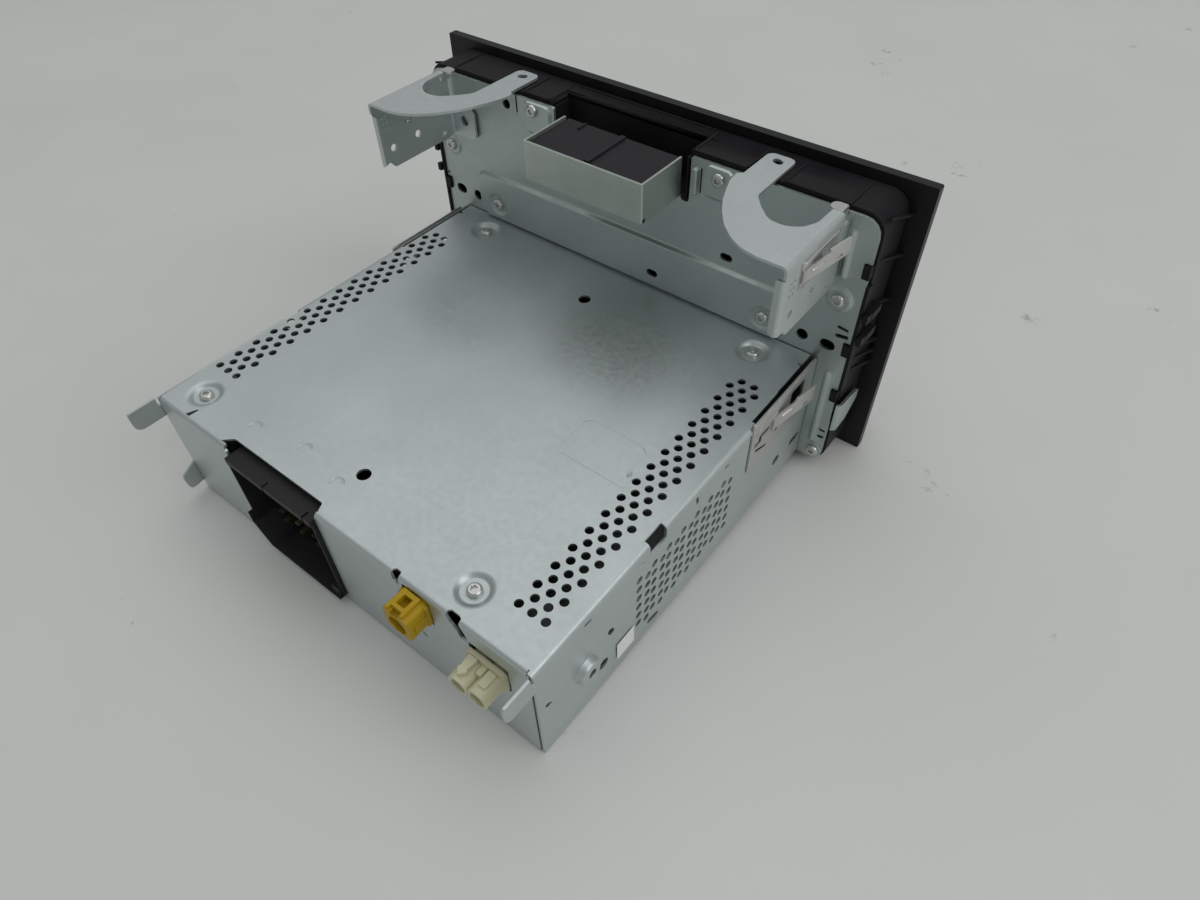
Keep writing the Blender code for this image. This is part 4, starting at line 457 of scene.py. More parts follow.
def finishMesh(name, bm, material, body, replaced=(), sheet=0.0, soften=0.12,
               outward=None, segments=2):
    # merges, faces outward, moves to the frame and adds thickness and soft edges
    bmesh.ops.remove_doubles(bm, verts=bm.verts, dist=joining["weld"])
    bmesh.ops.recalc_face_normals(bm, faces=bm.faces)
    if outward is not None:
        lean = sum((f.normal.dot(Vector(outward)) * f.calc_area() for f in bm.faces), 0.0)
        if lean < 0:
            bmesh.ops.reverse_faces(bm, faces=bm.faces)
    bmesh.ops.transform(bm, matrix=toFrame, verts=bm.verts)
    mesh = bpy.data.meshes.new(name)
    bm.to_mesh(mesh)
    bm.free()
    mesh.shade_smooth()
    mesh.materials.append(material)
    piece = bpy.data.objects.new(name, mesh)
    scene.collection.objects.link(piece)
    if sheet:
        thick = piece.modifiers.new("thickness", "SOLIDIFY")
        thick.thickness = sheet * mm
        thick.offset = -1
        thick.use_even_offset = True
    if soften:
        soft = piece.modifiers.new("softEdges", "BEVEL")
        soft.width = soften * mm
        soft.segments = segments
        soft.limit_method = "ANGLE"
        soft.angle_limit = math.radians(joining["softAngle"])
        soft.use_clamp_overlap = True
    shade = piece.modifiers.new("evenShade", "WEIGHTED_NORMAL")
    shade.keep_sharp = False
    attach(piece, body)
    if replaced:
        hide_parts(*replaced)
    return piece


# chassis shell: one folded cover that reaches down both sides, a rear wall and a base

# places on the cover are (x, y), on a side wall (y, z); a dish, a boss and a crease go
# from their rim inwards, as (radius, height) or (share of the outline, height)
shell = {"half": 89.0, "fold": 2.0, "top": 50.0, "front": 0.4, "rear": 157.5, "wallRear": 158.7,
         "sheet": 0.9, "ventRadius": 1.5, "ventStep": 8,
         "coverVents": [(1, (84.5, 79.5, 74.5), (82.0, 77.0), 27, 14),
                        (-1, (81, 76, 71), (78.5, 73.5), 28, 15)],
         "wallVents": [(62.5, 12.5), (58.0, 10.0)], "wallVentCounts": (7, 6), "wallVentRise": 5,
         "rightPricks": [(109.0, 45.0), (58.0, 45.5)],
         "rightSlots": [(135.5, 46.4, 3.4, 1.0, 8), (79.5, 45.4, 4.0, 1.3, 80),
                        (62.0, 46.2, 2.6, 0.9, 0)],
         "slots": [(154.5, 27.0, 3.2, 1.5, 40), (125.0, 27.0, 4.0, 2.4, 55),
                   (20.5, 12.0, 5.0, 3.8), (6.0, 12.0, 8.0, 3.0)],
         "holes": [(1.2, 24.0), (0.9, 138.5)], "holeRadius": 2.5,
         "screws": [(67.0, 11.1), (-68.0, 11.2), (75.6, 147.2), (-57.5, 148.1)],
         "screwHole": 1.6, "screwGap": 0.02,
         "dish": [(7.2, 0), (6.6, -0.05), (6.0, -0.22), (5.4, -0.62), (4.9, -1.12), (4.6, -1.38),
                  (4.3, -1.5), (4.0, -1.52)],
         "stamps": [(47.3, 146.6), (25.4, 142.9), (5.1, 146.2)],
         "stampRadius": 2.2, "stampWidths": (0.9, 0.35), "stampDepth": 0.22,
         "crease": [(-40.5, 74.5, 3), (-66.6, 74.5, 2.5), (-66.6, 87.0, 1.0), (-69.1, 87.0, 1.0),
                    (-69.1, 93.0, 1.2), (-40.5, 93.0, 3)],
         "creaseMiddle": (-54.5, 83.7),
         "creaseShares": [(1.0, 0), (0.99, -0.07), (0.975, -0.07), (0.965, 0)],
         "boss": (137.5, 22.4), "bossHole": 1.75,
         "bossRise": [(5.6, 0), (5.2, 0.12), (4.9, 0.7), (4.6, 1.7), (4.3, 2.3), (3.8, 2.6),
                      (3.1, 2.65)],
         "folds": {1: [(42.0, 96.7), (103.6, 158.7)], -1: [(43.0, 96.7), (105.3, 158.7)]}}


def coverHoles():
    holes = []
    step, radius = shell["ventStep"], shell["ventRadius"]
    for side, columns, between, start, rows in shell["coverVents"]:
        for row in range(rows):
            holes += [ring(side * x, start + step * row, radius) for x in between]
            holes += [ring(side * x, start + step / 2 + step * row, radius) for x in columns]
    return holes + [ring(x, y, shell["holeRadius"], 24) for x, y in shell["holes"]]


def coverOutline():
    flat = shell["half"] - shell["fold"]
    left, right = shell["folds"][1], shell["folds"][-1]
    edge, rear, front = 0.5, shell["rear"], shell["front"]
    return rounded([
        (flat - edge, front), (flat - edge, 6.5), (flat - 2.6, 7.2), (flat - edge, 8.2),
        (flat - edge, left[0][0]), (flat, left[0][0]), (flat, left[0][1]),
        (flat - edge, left[0][1]), (flat - edge, left[1][0]), (flat, left[1][0]), (flat, rear),
        (72.4, rear, 0.3), (70.6, 153.6, 0.3), (69.9, 153.9, 0.3), (70.4, rear, 0.3),
        (51.4, rear, 2.0), (48.0, 154.2, 2.0), (2.2, 154.2, 1.2), (0.8, rear, 1.2),
        (-34.0, rear), (-34.6, 156.8), (-36.6, 156.8), (-37.0, rear),
        (-56.6, rear), (-57.2, 156.9), (-60.4, 156.9), (-61.6, rear),
        (-flat, rear), (-flat, right[1][0]), (-flat + edge, right[1][0]),
        (-flat + edge, right[0][1]), (-flat, right[0][1]), (-flat, right[0][0]),
        (-flat + edge, right[0][0]), (-flat + edge, 25.2), (-flat + 0.9, 24.7),
        (-flat + 0.9, 8.4), (-flat + 2.9, 7.6), (-flat + 0.9, 6.8), (-flat + 0.9, front)])


def sideHoles(side):
    holes = []
    if side < 0:
        columns, rows = shell["wallVentCounts"]
        for column in range(columns):
            for row in range(rows):
                holes += [ring(y + shell["ventStep"] * column, z + shell["wallVentRise"] * row,
                               shell["ventRadius"], 16) for y, z in shell["wallVents"]]
        holes += [rectangle(46.4, 47.3, 29.0, 47.9), oblong(102.0, 4.6, 6.5, 2.6, 12)]
        holes += [ring(y, z, 0.4, 8) for y, z in shell["rightPricks"]]
        holes += [oblong(*slot) for slot in shell["rightSlots"]]
    holes += [rectangle(9.0, 44.0, 32.0, 47.4, 0.5), ring(129.0, 12.5, 2.25)]
    return holes + [oblong(*slot) for slot in shell["slots"]]


def sideOutline(side):
    folds = shell["folds"][side]
    flat, rear, front = shell["top"] - shell["fold"], shell["wallRear"], shell["front"]
    corners = [(front, 0.2), (rear, 0.2)]
    if side > 0:
        corners += [(rear, 5.0), (164.8, 3.9, 2.2), (165.4, 11.6, 2.0), (rear, 15.6)]
    corners += [(rear, 40.9), (170.4, 40.9, 3.2), (170.4, 49.6, 1.0), (159.7, 49.6), (159.7, 46.2),
                (rear, 46.2), (rear, flat), (folds[1][0], flat), (folds[1][0], 44.2, 0.7),
                (folds[0][1], 44.2, 0.7), (folds[0][1], flat), (folds[0][0], flat),
                (folds[0][0], 49.5), (front, 49.5)]
    return rounded(corners)


def stampArc(x, y, wide):
    radius = shell["stampRadius"]
    return (arcOf(x, y, radius + wide / 2, -150, 45, 12)
            + arcOf(x, y, radius - wide / 2, 45, -150, 12))


def buildShell():
    bm = bmesh.new()
    top = shifted(facingUp, shell["top"])
    wide, narrow = shell["stampWidths"]
    dishes = [ring(x, y, shell["dish"][0][0], 32) for x, y in shell["screws"]]
    stamps = [stampArc(x, y, wide) for x, y in shell["stamps"]]
    crease = rounded(shell["crease"])
    fillFlat(bm, [coverOutline()] + coverHoles() + dishes + stamps + [crease], top)
    for x, y in shell["screws"]:
        press(bm, top, roundRims(x, y, shell["dish"], 32), [ring(x, y, shell["screwHole"], 32)])
    for x, y in shell["stamps"]:
        press(bm, top, [(stampArc(x, y, wide), 0), (stampArc(x, y, narrow), -shell["stampDepth"])])
    u0, v0 = shell["creaseMiddle"]
    press(bm, top, [([(u0 + (u - u0) * share, v0 + (v - v0) * share) for u, v in crease], lift)
                    for share, lift in shell["creaseShares"]])
    y, z = shell["boss"]
    for side in (1, -1):
        flat = side * (shell["half"] - shell["fold"])
        for y0, y1 in shell["folds"][side]:
            foldEdge(bm, [(flat, y0, shell["top"]), (flat, y1, shell["top"])],
                     (flat, 0, shell["top"] - shell["fold"]), (0, 1, 0), side * 90)
        outer = shifted(facingSide[side], shell["half"])
        boss = ring(y, z, shell["bossRise"][0][0], 24)
        fillFlat(bm, [sideOutline(side), boss] + sideHoles(side), outer)
        press(bm, outer, roundRims(y, z, shell["bossRise"], 24), [ring(y, z, shell["bossHole"], 24)])
    finishMesh("coverShell", bm, coverZinc, "chassis",
               ("top_cover", "side_wall_left", "side_wall_right"), shell["sheet"], 0.16,
               (0, 0, 1))


screwHead = {"lobes": (1.25, 0.9), "crown": (1.67, 1.58), "recess": 0.9, "sides": 24,
             "flank": [(1.8, 1.54), (2.2, 1.36), (2.46, 0.96), (2.55, 0.43), (2.55, 0.0),
                       (1.4, 0.0), (1.4, -3.0)]}


def lobedHead(bm, centre, plane):
    # a pan head with a six-lobed recess, and its shank below
    place = plane.copy()
    place.translation = Vector(centre)
    star = [(screwHead["lobes"][i % 2] * math.cos(math.tau * i / 12),
             screwHead["lobes"][i % 2] * math.sin(math.tau * i / 12)) for i in range(12)]
    radius, crown = screwHead["crown"]
    sides = screwHead["sides"]
    rims = drawLoop(bm, ring(0, 0, radius, sides), place, crown) + drawLoop(bm, star, place, crown)
    fillLoops(bm, rims, place)
    press(bm, place, [(star, crown),
                      ([(u * 0.95, v * 0.95) for u, v in star], crown - screwHead["recess"])])
    press(bm, place, roundRims(0, 0, [screwHead["crown"]] + screwHead["flank"], sides))


def buildScrews():
    level = shell["top"] + shell["dish"][-1][1] + shell["screwGap"]
    for number, (x, y) in enumerate(shell["screws"]):
        bm = bmesh.new()
        lobedHead(bm, (x, y, level), facingUp)
        finishMesh("coverScrew%d" % (number + 1), bm, screwSteel, "chassis",
                   ("cover_screw_%d" % (number + 1),), 0, 0.06)


rearWall = {"y": 159.0, "fold": 1.6, "foldLevel": 48.4, "sheet": 0.9,
            "folds": [(-86.6, -61.6), (-56.6, -37.0), (-34.0, 1.0), (48.4, 86.6)],
            "windows": [(-49.4, -38.2, 35.4, 48.2, 1), (-79.4, -64.2, 29.8, 42.6, 1)],
            "slit": (-42.0, 23.0, 2.6, 1.2, 30)}


def buildRearWall():
    bm = bmesh.new()
    y, top = rearWall["y"], rearWall["foldLevel"]
    # the big gap is the main socket's, the small ones are reliefs over the aerial sockets
    outline = rounded([
        (-87.6, 0.5, 1), (87.6, 0.5, 1), (87.6, top), (47.6, top, 1.0), (47.6, 12.8, 0.6),
        (41.6, 3.2, 0.6), (1.6, 3.2, 1), (1.6, top, 1.0), (-34.0, top), (-34.4, 46.4, 0.3),
        (-36.4, 44.6, 0.3), (-37.0, top), (-56.6, top), (-58.0, 46.2, 0.5), (-60.2, 44.0, 0.5),
        (-61.2, 41.0, 0.3), (-63.7, 41.0, 0.3), (-63.7, 44.6, 0.4), (-61.6, top), (-87.6, top)])
    holes = [rectangle(*window) for window in rearWall["windows"]] + [oblong(*rearWall["slit"])]
    fillFlat(bm, [outline] + holes, shifted(facingRear, y))
    # the fold that meets the cover, cut away at the sockets
    for x0, x1 in rearWall["folds"]:
        foldEdge(bm, [(x0, y, top), (x1, y, top)], (0, y - rearWall["fold"], top), (1, 0, 0), 90)
    finishMesh("rearWall", bm, coverZinc, "chassis", ("rear_wall",),
               rearWall["sheet"], 0.14, (0, 1, 0))


basePan = {"outline": (-87.4, 87.4, 0.4, 157.4, 1.5), "sheet": 0.9,
           "feet": [(75, 14), (-75, 14), (75, 127), (-75, 127), (0, 72)], "footHole": 1.2,
           "footDish": [(5.0, 0), (4.4, 0.5), (3.4, 4.2), (3.0, 5.4)]}


def buildBase():
    bm = bmesh.new()
    feet = [ring(x, y, basePan["footDish"][0][0], 24) for x, y in basePan["feet"]]
    fillFlat(bm, [rectangle(*basePan["outline"])] + feet, facingUp)
    for x, y in basePan["feet"]:
        press(bm, facingUp, roundRims(x, y, basePan["footDish"], 24),
              [ring(x, y, basePan["footHole"], 24)])
    finishMesh("basePan", bm, coverZinc, "chassis", ("base_plate",), basePan["sheet"],
               0.14, (0, 0, -1))


buildShell()
buildScrews()
buildRearWall()
buildBase()
print("radio: chassis shell made")


# front plate, seen from behind as (x, z), and the small box on its upper edge

plate = {"half": 99.2, "top": 109.4, "sheet": 1.1,
         "latches": (36.0, 58.0, 91.0), "latchHalf": 2.9, "latchIn": 96.6,
         "slits": [(-95.2, 66.2, 4.4, 1.2, 6), (-95.4, 62.9, 5.0, 1.6, -8),
                   (-97.2, 16.5, 2.8, 1.1, 6), (-97.2, 13.0, 2.8, 1.3, -8)],
         "bandLift": 2.0,
         "band": [((-74.4, 78.4, 49.8, 72.0, 5), 0), ((-73.8, 78.0, 50.3, 71.3, 4.8), 0.35),
                  ((-73.0, 77.4, 51.0, 70.6, 4.4), 1.7), ((-72.4, 77.0, 51.6, 70.0, 4), 2.0)],
         "bandScrews": [(67.0, 58.0), (-65.0, 58.0)],
         "bandDish": [(5.6, 0), (5.0, -0.08), (4.4, -0.6), (3.9, -0.8)],
         "highScrews": [(92.0, 78.0), (-91.4, 77.4)],
         "highDish": [(5.4, 0), (4.9, 0.1), (4.2, 0.75), (3.8, 0.85)],
         "padScrews": [(43.0, 106.0), (-41.0, 105.0)],
         "pads": [(-46.5, -34.4, 96.5, 109.0, 0.6), (33.8, 48.5, 96.0, 109.0, 1.3)],
         "padLift": 1.0,
         "lowScrews": [(-95.6, 4.7), (95.6, 4.7)],
         "lowDish": [(3.4, 0), (3.3, 0.12), (3.15, 0.3), (3.0, 0.35)],
         "ridges": [(-93.9, 27.5, 38.0), (-90.6, 95.0, 20.0)],
         "ridgeRims": [(0, 3.4, 0), (1.4, 2.0, 0.45), (2.6, 0.7, 1.0)],
         "lance": (-31.2, 101.0), "lanceRims": [(11.0, 3.2, 0), (10.2, 2.5, 1.5), (9.4, 1.7, 1.8)],
         "lugOut": 101.35, "lugFold": 0.85, "lugFoot": (20.5, 33.5)}


def plateOutline():
    half, top = plate["half"], plate["top"]
    windows = {}
    for side in (1, -1):
        edge, inside = side * half, side * plate["latchIn"]
        windows[side] = []
        for z in plate["latches"]:
            low, high = z - plate["latchHalf"], z + plate["latchHalf"]
            windows[side] += [(edge, low), (inside, low, 0.5), (inside, high, 0.5), (edge, high)]
    return rounded(
        [(-half, 0, 5.0), (half, 0, 5.0)] + windows[1]
        + [(half, top, 6.0), (52.4, top), (52.4, 102.5), (51.6, 102.5), (51.6, top),
           (33.0, top, 0.8), (33.0, 93.2), (-25.2, 93.2), (-26.0, 91.8, 1.2),
           (-29.0, 91.8, 1.2), (-29.0, top, 0.8), (-half, top, 6.0)] + windows[-1][::-1])


def buildPlate():
    bm = bmesh.new()
    plane = facingRear
    holes = [ring(81, 57, 2.3), ring(-81, 57, 2.3), oblong(91, 57, 6.0, 4.4),
             oblong(-91, 57, 6.0, 4.4), oblong(-46.6, 75.7, 5.2, 3.0), ring(57.5, 104.5, 2.0),
             rectangle(97.2, 98.6, 62.4, 63.4), rectangle(-33.7, -33.1, 97.0, 106.4)]
    holes += [oblong(*slit) for slit in plate["slits"]]
    pressed = [roundRims(x, z, plate["highDish"], 28) for x, z in plate["highScrews"]]
    pressed += [roundRims(x, z, plate["lowDish"], 28) for x, z in plate["lowScrews"]]
    for u0, u1, v0, v1, inset in plate["pads"]:
        pressed.append([(rectangle(u0, u1, v0, v1, 3), 0),
                        (rectangle(u0 + inset, u1 - 0.6, v0 + 1.3, v1 - 0.4, 2.2),
                         plate["padLift"])])
    for u, v, length in plate["ridges"]:
        pressed.append(slotRims(u, v, [(length - less, wide, lift)
                                       for less, wide, lift in plate["ridgeRims"]], 8))
    pressed.append(slotRims(*plate["lance"], plate["lanceRims"], 6))
    band = [(rectangle(*sides), lift) for sides, lift in plate["band"]]
    fillFlat(bm, [plateOutline(), band[0][0]] + holes + [rims[0][0] for rims in pressed], plane)
    for rims in pressed:
        press(bm, plane, rims)
    # the raised band with its own screw dishes and slot
    dishes = [ring(x, z, plate["bandDish"][0][0], 28) for x, z in plate["bandScrews"]]
    press(bm, plane, band, dishes + [oblong(-15.6, 57.0, 5.2, 3.0)])
    for x, z in plate["bandScrews"]:
        press(bm, plane, roundRims(x, z, plate["bandDish"], 28, plate["bandLift"]))
    # the lugs bent forward at the sides
    out, (low, high) = plate["lugOut"], plate["lugFoot"]
    for side in (1, -1):
        outline = rounded([(0.0, low), (-7.0, 21.0), (-14.4, 26.5, 2.2), (-14.4, 31.5, 1.8),
                           (-5.0, 33.2), (0.0, high)])
        fillFlat(bm, [outline], shifted(facingSide[side], out))
        foldEdge(bm, [(side * out, 0.0, low), (side * out, 0.0, high)],
                 (side * (out - plate["lugFold"]), 0.0, 0), (0, 0, 1), side * 90)
    finishMesh("frontPlate", bm, plateZinc, "chassis", ("front_plate",),
               plate["sheet"], 0.14, (0, 1, 0))


def buildPlateScrews():
    bm = bmesh.new()
    bandSeat = plate["bandLift"] + plate["bandDish"][-1][1]
    for places, seat in ((plate["bandScrews"], bandSeat),
                         (plate["highScrews"], plate["highDish"][-1][1]),
                         (plate["padScrews"], plate["padLift"]), (plate["lowScrews"], 0.36)):
        for x, z in places:
            lobedHead(bm, (x, seat, z), facingRear)
    finishMesh("plateScrews", bm, screwSteel, "chassis", (), 0, 0.06)


rearBox = {"left": 27.2, "right": -25.6, "rear": 24.2, "front": 0.6, "low": 93.6, "high": 108.4,
           "wall": 0.9, "sink": 1.3}


def buildRearBox():
    bm = bmesh.new()
    x0, x1, y0, y1 = rearBox["right"], rearBox["left"], rearBox["front"], rearBox["rear"]
    z0, z1, wall = rearBox["low"], rearBox["high"], rearBox["wall"]
    # a bent strip round three sides and a floor under it
    slab(bm, [rounded([(x0, y0), (x0, y1, 0.9), (x1, y1, 0.9), (x1, y0), (x1 - wall, y0),
                       (x1 - wall, y1 - wall, 0.4), (x0 + wall, y1 - wall, 0.4),
                       (x0 + wall, y0)])], facingUp, z0, z1)
    slab(bm, [rectangle(x0 + wall + 0.1, x1 - wall - 0.1, y0, y1 - wall - 0.1, 0.5)], facingUp,
         z0 + 0.05, z0 + 0.95)
    finishMesh("rearBoxWrap", bm, wrapZinc, "chassis", ("rear_box_wrap",), 0, 0.14)
    bm = bmesh.new()
    floor = z1 - rearBox["sink"]
    slab(bm, [rectangle(x0 + 1.1, x1 - 1.1, -0.8, y1 - 1.2, 0.6)], facingUp, z0 + 1.4, floor)
    # the rib across the middle, a small one beside it and the hook at the corner
    slab(bm, [rectangle(-0.8, 1.4, -0.4, y1 - 2.6, 0.4)], facingUp, floor - 0.1, floor + 0.9)
    brick(bm, x0 - 0.06, x0 + 0.5, y1 - 2.0, y1 - 0.6, z0 + 0.2, z0 + 1.7)
    slab(bm, [rectangle(17.4, 18.2, -0.6, 4.4, 0.2)], facingUp, floor - 0.2, floor + 0.6)
    finishMesh("rearBoxInsert", bm, insertBlack, "chassis", ("rear_box_insert",),
               0, 0.15)


buildPlate()
buildPlateScrews()
buildRearBox()
print("radio: front plate made")


# half-moon brackets and spring clips, drawn for the left side and mirrored for the right

bracket = {"top": 112.0, "half": 89.0, "fold": 2.0, "sheet": 1.0, "base": 83.8, "front": 0.8,
           "rear": 41.7, "smallFold": 1.6, "hole": (56.6, -9.6, 4.2, 3.0, 25),
           "moon": [(61.6, -14.0, 2.6), (51.2, -14.0, 2.6), (51.2, 3.2, 1.0), (49.4, 4.6, 1.0),
                    (49.9, 9.5, 12), (51.9, 15.0, 14), (54.4, 21.2, 14), (58.0, 27.4, 14),
                    (62.4, 33.2, 14), (67.7, 37.9, 14), (73.0, 40.7, 12), (78.5, 41.7, 8),
                    (87.0, 41.7), (87.0, 5.6), (84.6, 5.6, 0.6), (84.4, 15.5, 6), (82.0, 20.2, 6),
                    (77.6, 23.0, 7), (71.6, 22.8, 7), (66.2, 17.8, 7), (61.9, 12.6, 5)],
           "cross": [(24.2, 98.2, 0.3), (25.8, 98.2, 0.3), (25.8, 99.0), (27.0, 99.0, 0.2),
                     (27.0, 99.9, 0.2), (22.8, 99.9, 0.2), (22.8, 99.0, 0.2), (24.2, 99.0)],
           "ear": [(82.6, 0.6, 2.0), (87.6, 0.6, 0.8), (87.6, 5.2, 0.6), (82.6, 5.2, 2.0)]}


def buildBracket(side):
    bm = bmesh.new()
    half, rear, front, base = (bracket[key] for key in ("half", "rear", "front", "base"))
    flat, edge = half - bracket["fold"], bracket["top"] - bracket["fold"]
    fillFlat(bm, [rounded(mirrored(side, bracket["moon"]), 5),
                  mirrored(side, oblong(*bracket["hole"]))], shifted(facingUp, bracket["top"]))
    foldEdge(bm, [(side * flat, 5.6, bracket["top"]), (side * flat, rear, bracket["top"])],
             (side * flat, 0, edge), (0, 1, 0), side * 90)
    # side plate with its own folds at the front and at the rear
    low, high, small = base + 0.8, 98.0, bracket["smallFold"]
    outline = rounded([(front + small, low), (6.0, base, 0.8), (35.5, base, 1.5), (37.5, 86.4, 1.0),
                       (rear - small, 86.4), (rear - small, 107.0), (rear, 107.4, 0.5), (rear, edge),
                       (5.6, edge), (5.6, 107.5, 0.8), (front + 0.8, 107.5, 0.8),
                       (front + 0.8, 98.8), (front + small, high)])
    holes = [rounded(bracket["cross"], 2), ring(21.3, 92.0, 1.5), ring(34.6, 91.5, 1.5),
             oblong(8.0, 86.6, 3.4, 1.6), rectangle(11.6, 23.6, 100.9, 106.8, 0.5)]
    holes += [ring(35.4 + 2.0 * i, 99.5 + 2.4 * j, 0.45, 8) for i in range(2) for j in range(3)]
    fillFlat(bm, [outline] + holes, shifted(facingSide[side], half))
    for y, ends, turn in ((front + small, (low, high), -90), (rear - small, (86.4, 107.0), 90)):
        foldEdge(bm, [(side * half, y, end) for end in ends], (side * (half - small), y, 0),
                 (0, 0, 1), side * turn)
    flange = rounded([(half - small, low), (half - small, high), (78.0, high, 1.5),
                      (75.2, 95.5, 1.5), (75.2, base + 2.0, 2), (77.5, low, 1.5)])
    fillFlat(bm, [mirrored(side, flange), mirrored(side, ring(81.0, 91.6, 2.1))],
             shifted(facingRear, front))
    flange = rounded([(half - small, 86.4), (half - small, 107.0), (85.7, 107.0, 0.9),
                      (85.7, 87.4, 0.8)])
    fillFlat(bm, [mirrored(side, flange)], shifted(facingRear, rear))
    finishMesh("moonBracket" + sideName[side], bm, bracketZinc, "chassis",
               ("half_moon_bracket_" + sideName[side].lower(),), bracket["sheet"], 0.14, (0, 0, 1))
    bm = bmesh.new()
    slab(bm, [rounded(mirrored(side, bracket["ear"]))], shifted(facingUp, 111.0), 0, 0.9)
    brick(bm, *sorted((side * 86.6, side * 87.6)), 0.7, 5.0, 107.8, 111.4)
    finishMesh("bracketEar" + sideName[side], bm, springSteel, "chassis", (), 0, 0.3)


clipPlates = {
    "out": 89.3, "sheet": 0.5,
    "low": {"y": (4.0, 46.0), "base": 27.4, "tops": {1: 50.6, -1: 51.8}, "hem": (2.2, 0.7),
            "window": (9.4, 19.0, 38.6, 46.6, 0.8), "inset": (29.0, 41.0, 43.2, 47.4, 1.0),
            "hook": [(33.4, 40.4, 0.4), (38.6, 40.4, 0.4), (38.6, 38.4, 0.3), (43.4, 38.4, 0.4),
                     (43.4, 40.0, 0.4), (40.6, 40.0, 0.3), (40.6, 42.2, 0.4), (33.4, 42.2, 0.4)]},
    "high": {"y": (8.2, 32.4), "base": 98.6, "tops": {1: 108.8, -1: 108.8}, "hem": (1.4, 0.5),
             "window": (11.8, 20.0, 101.4, 106.4, 0.8), "inset": (25.0, 31.4, 99.4, 106.6, 0.8)}}


def buildClipPlate(side, level):
    # a pressed spring plate with windows and a hem along its top
    bm = bmesh.new()
    clip = clipPlates[level]
    face = shifted(facingSide[side], clipPlates["out"])
    (y0, y1), z0, top = clip["y"], clip["base"], clip["tops"][side]
    holes = [rectangle(*clip["window"])]
    if level == "low":
        outline = rounded([(y0, z0 + 6, 1), (y0 + 6, z0, 2), (y1, z0, 1.0), (y1, top, 1.0),
                           (y0, top, 1.0)])
        holes += [rounded(clip["hook"], 2), oblong(38.0, 34.4, 9.0, 1.2, 22),
                  ring(42.6, 44.6, 0.5, 8), oblong(27.4, 35.6, 3.0, 1.4, 60)]
    else:
        outline = rectangle(y0, y1, z0, top, 1.0)
    inset = rectangle(*clip["inset"])
    hem = rectangle(y0 + 1, y1 - 1, top - clip["hem"][0], top - clip["hem"][1], 0.4)
    fillFlat(bm, [outline, inset, hem] + holes, face)
    for loop, lift in ((inset, 0.4), (hem, 0.45)):
        centre = (sum(u for u, v in loop) / len(loop), sum(v for u, v in loop) / len(loop))
        inner = [(centre[0] + (u - centre[0]) * (1 - 0.5 / max(1, abs(u - centre[0]))),
                  centre[1] + (v - centre[1]) * 0.72) for u, v in loop]
        press(bm, face, [(loop, 0), (inner, lift)])
    name = sideName[side]
    finishMesh("clipPlate" + level.capitalize() + name, bm, springSteel, "chassis",
               ("clip_plate_%s_%s" % (level, name.lower()),), clipPlates["sheet"], 0.1,
               (side, 0, 0))


tongue = {"root": (90.0, 28.6), "tip": (93.6, 8.2), "foot": 3.2, "step": 1.4, "sheet": 0.6,
          "low": (37.6, 7.8), "high": (100.7, 6.4), "ribFromTop": 3.6}


def buildTongue(side, level):
    # the sprung blade: a foot on the plate, then a stepped blade with a rib at its root
    bm = bmesh.new()
    base, high = tongue[level]
    top, waist = base + high, base + high - tongue["step"]
    root, tip = Vector(tongue["root"] + (0,)), Vector(tongue["tip"] + (0,))
    along = (tip - root).normalized()
    out = Vector((-along.y, along.x, 0))
    if out.x < 0:
        out = -out
    blade = Matrix((along, Vector((0, 0, 1)), out)).transposed().to_4x4()
    foot = Matrix((Vector((0, 1, 0)), Vector((0, 0, 1)), Vector((1, 0, 0)))).transposed().to_4x4()
    blade.translation = foot.translation = root
    length = (tip - root).length
    ribLevel = top - tongue["ribFromTop"]
    rib = oblong(4.6, ribLevel, 6.4, 1.5)
    outline = rounded([(0, base + 0.2), (length, base, 0.9), (length, top, 0.9), (10.2, top, 0.4),
                       (9.4, waist, 0.3), (0, waist)])
    fillFlat(bm, [outline, rib, rectangle(14.2, 17.0, base + 1.2, base + 2.0)], blade)
    press(bm, blade, [(rib, 0), (oblong(4.6, ribLevel, 5.6, 0.8), 0.45)])
    fillFlat(bm, [rounded([(0, base + 0.2), (tongue["foot"], base + 0.2, 0.6),
                           (tongue["foot"], waist, 0.6), (0, waist)])], foot)
    if side < 0:
        bmesh.ops.scale(bm, vec=(-1, 1, 1), verts=bm.verts)
    body = "clip_tongue_%s_%s" % (level, sideName[side].lower())
    finishMesh("clipTongue" + level.capitalize() + sideName[side], bm, springSteel, body,
               (body,), tongue["sheet"], 0.1, (side, 0, 0))


for side in (1, -1):
    buildBracket(side)
    for level in ("low", "high"):
        buildClipPlate(side, level)
        buildTongue(side, level)
print("radio: brackets and clips made")


# rear sockets, drawn as (x, z) and reaching back along y

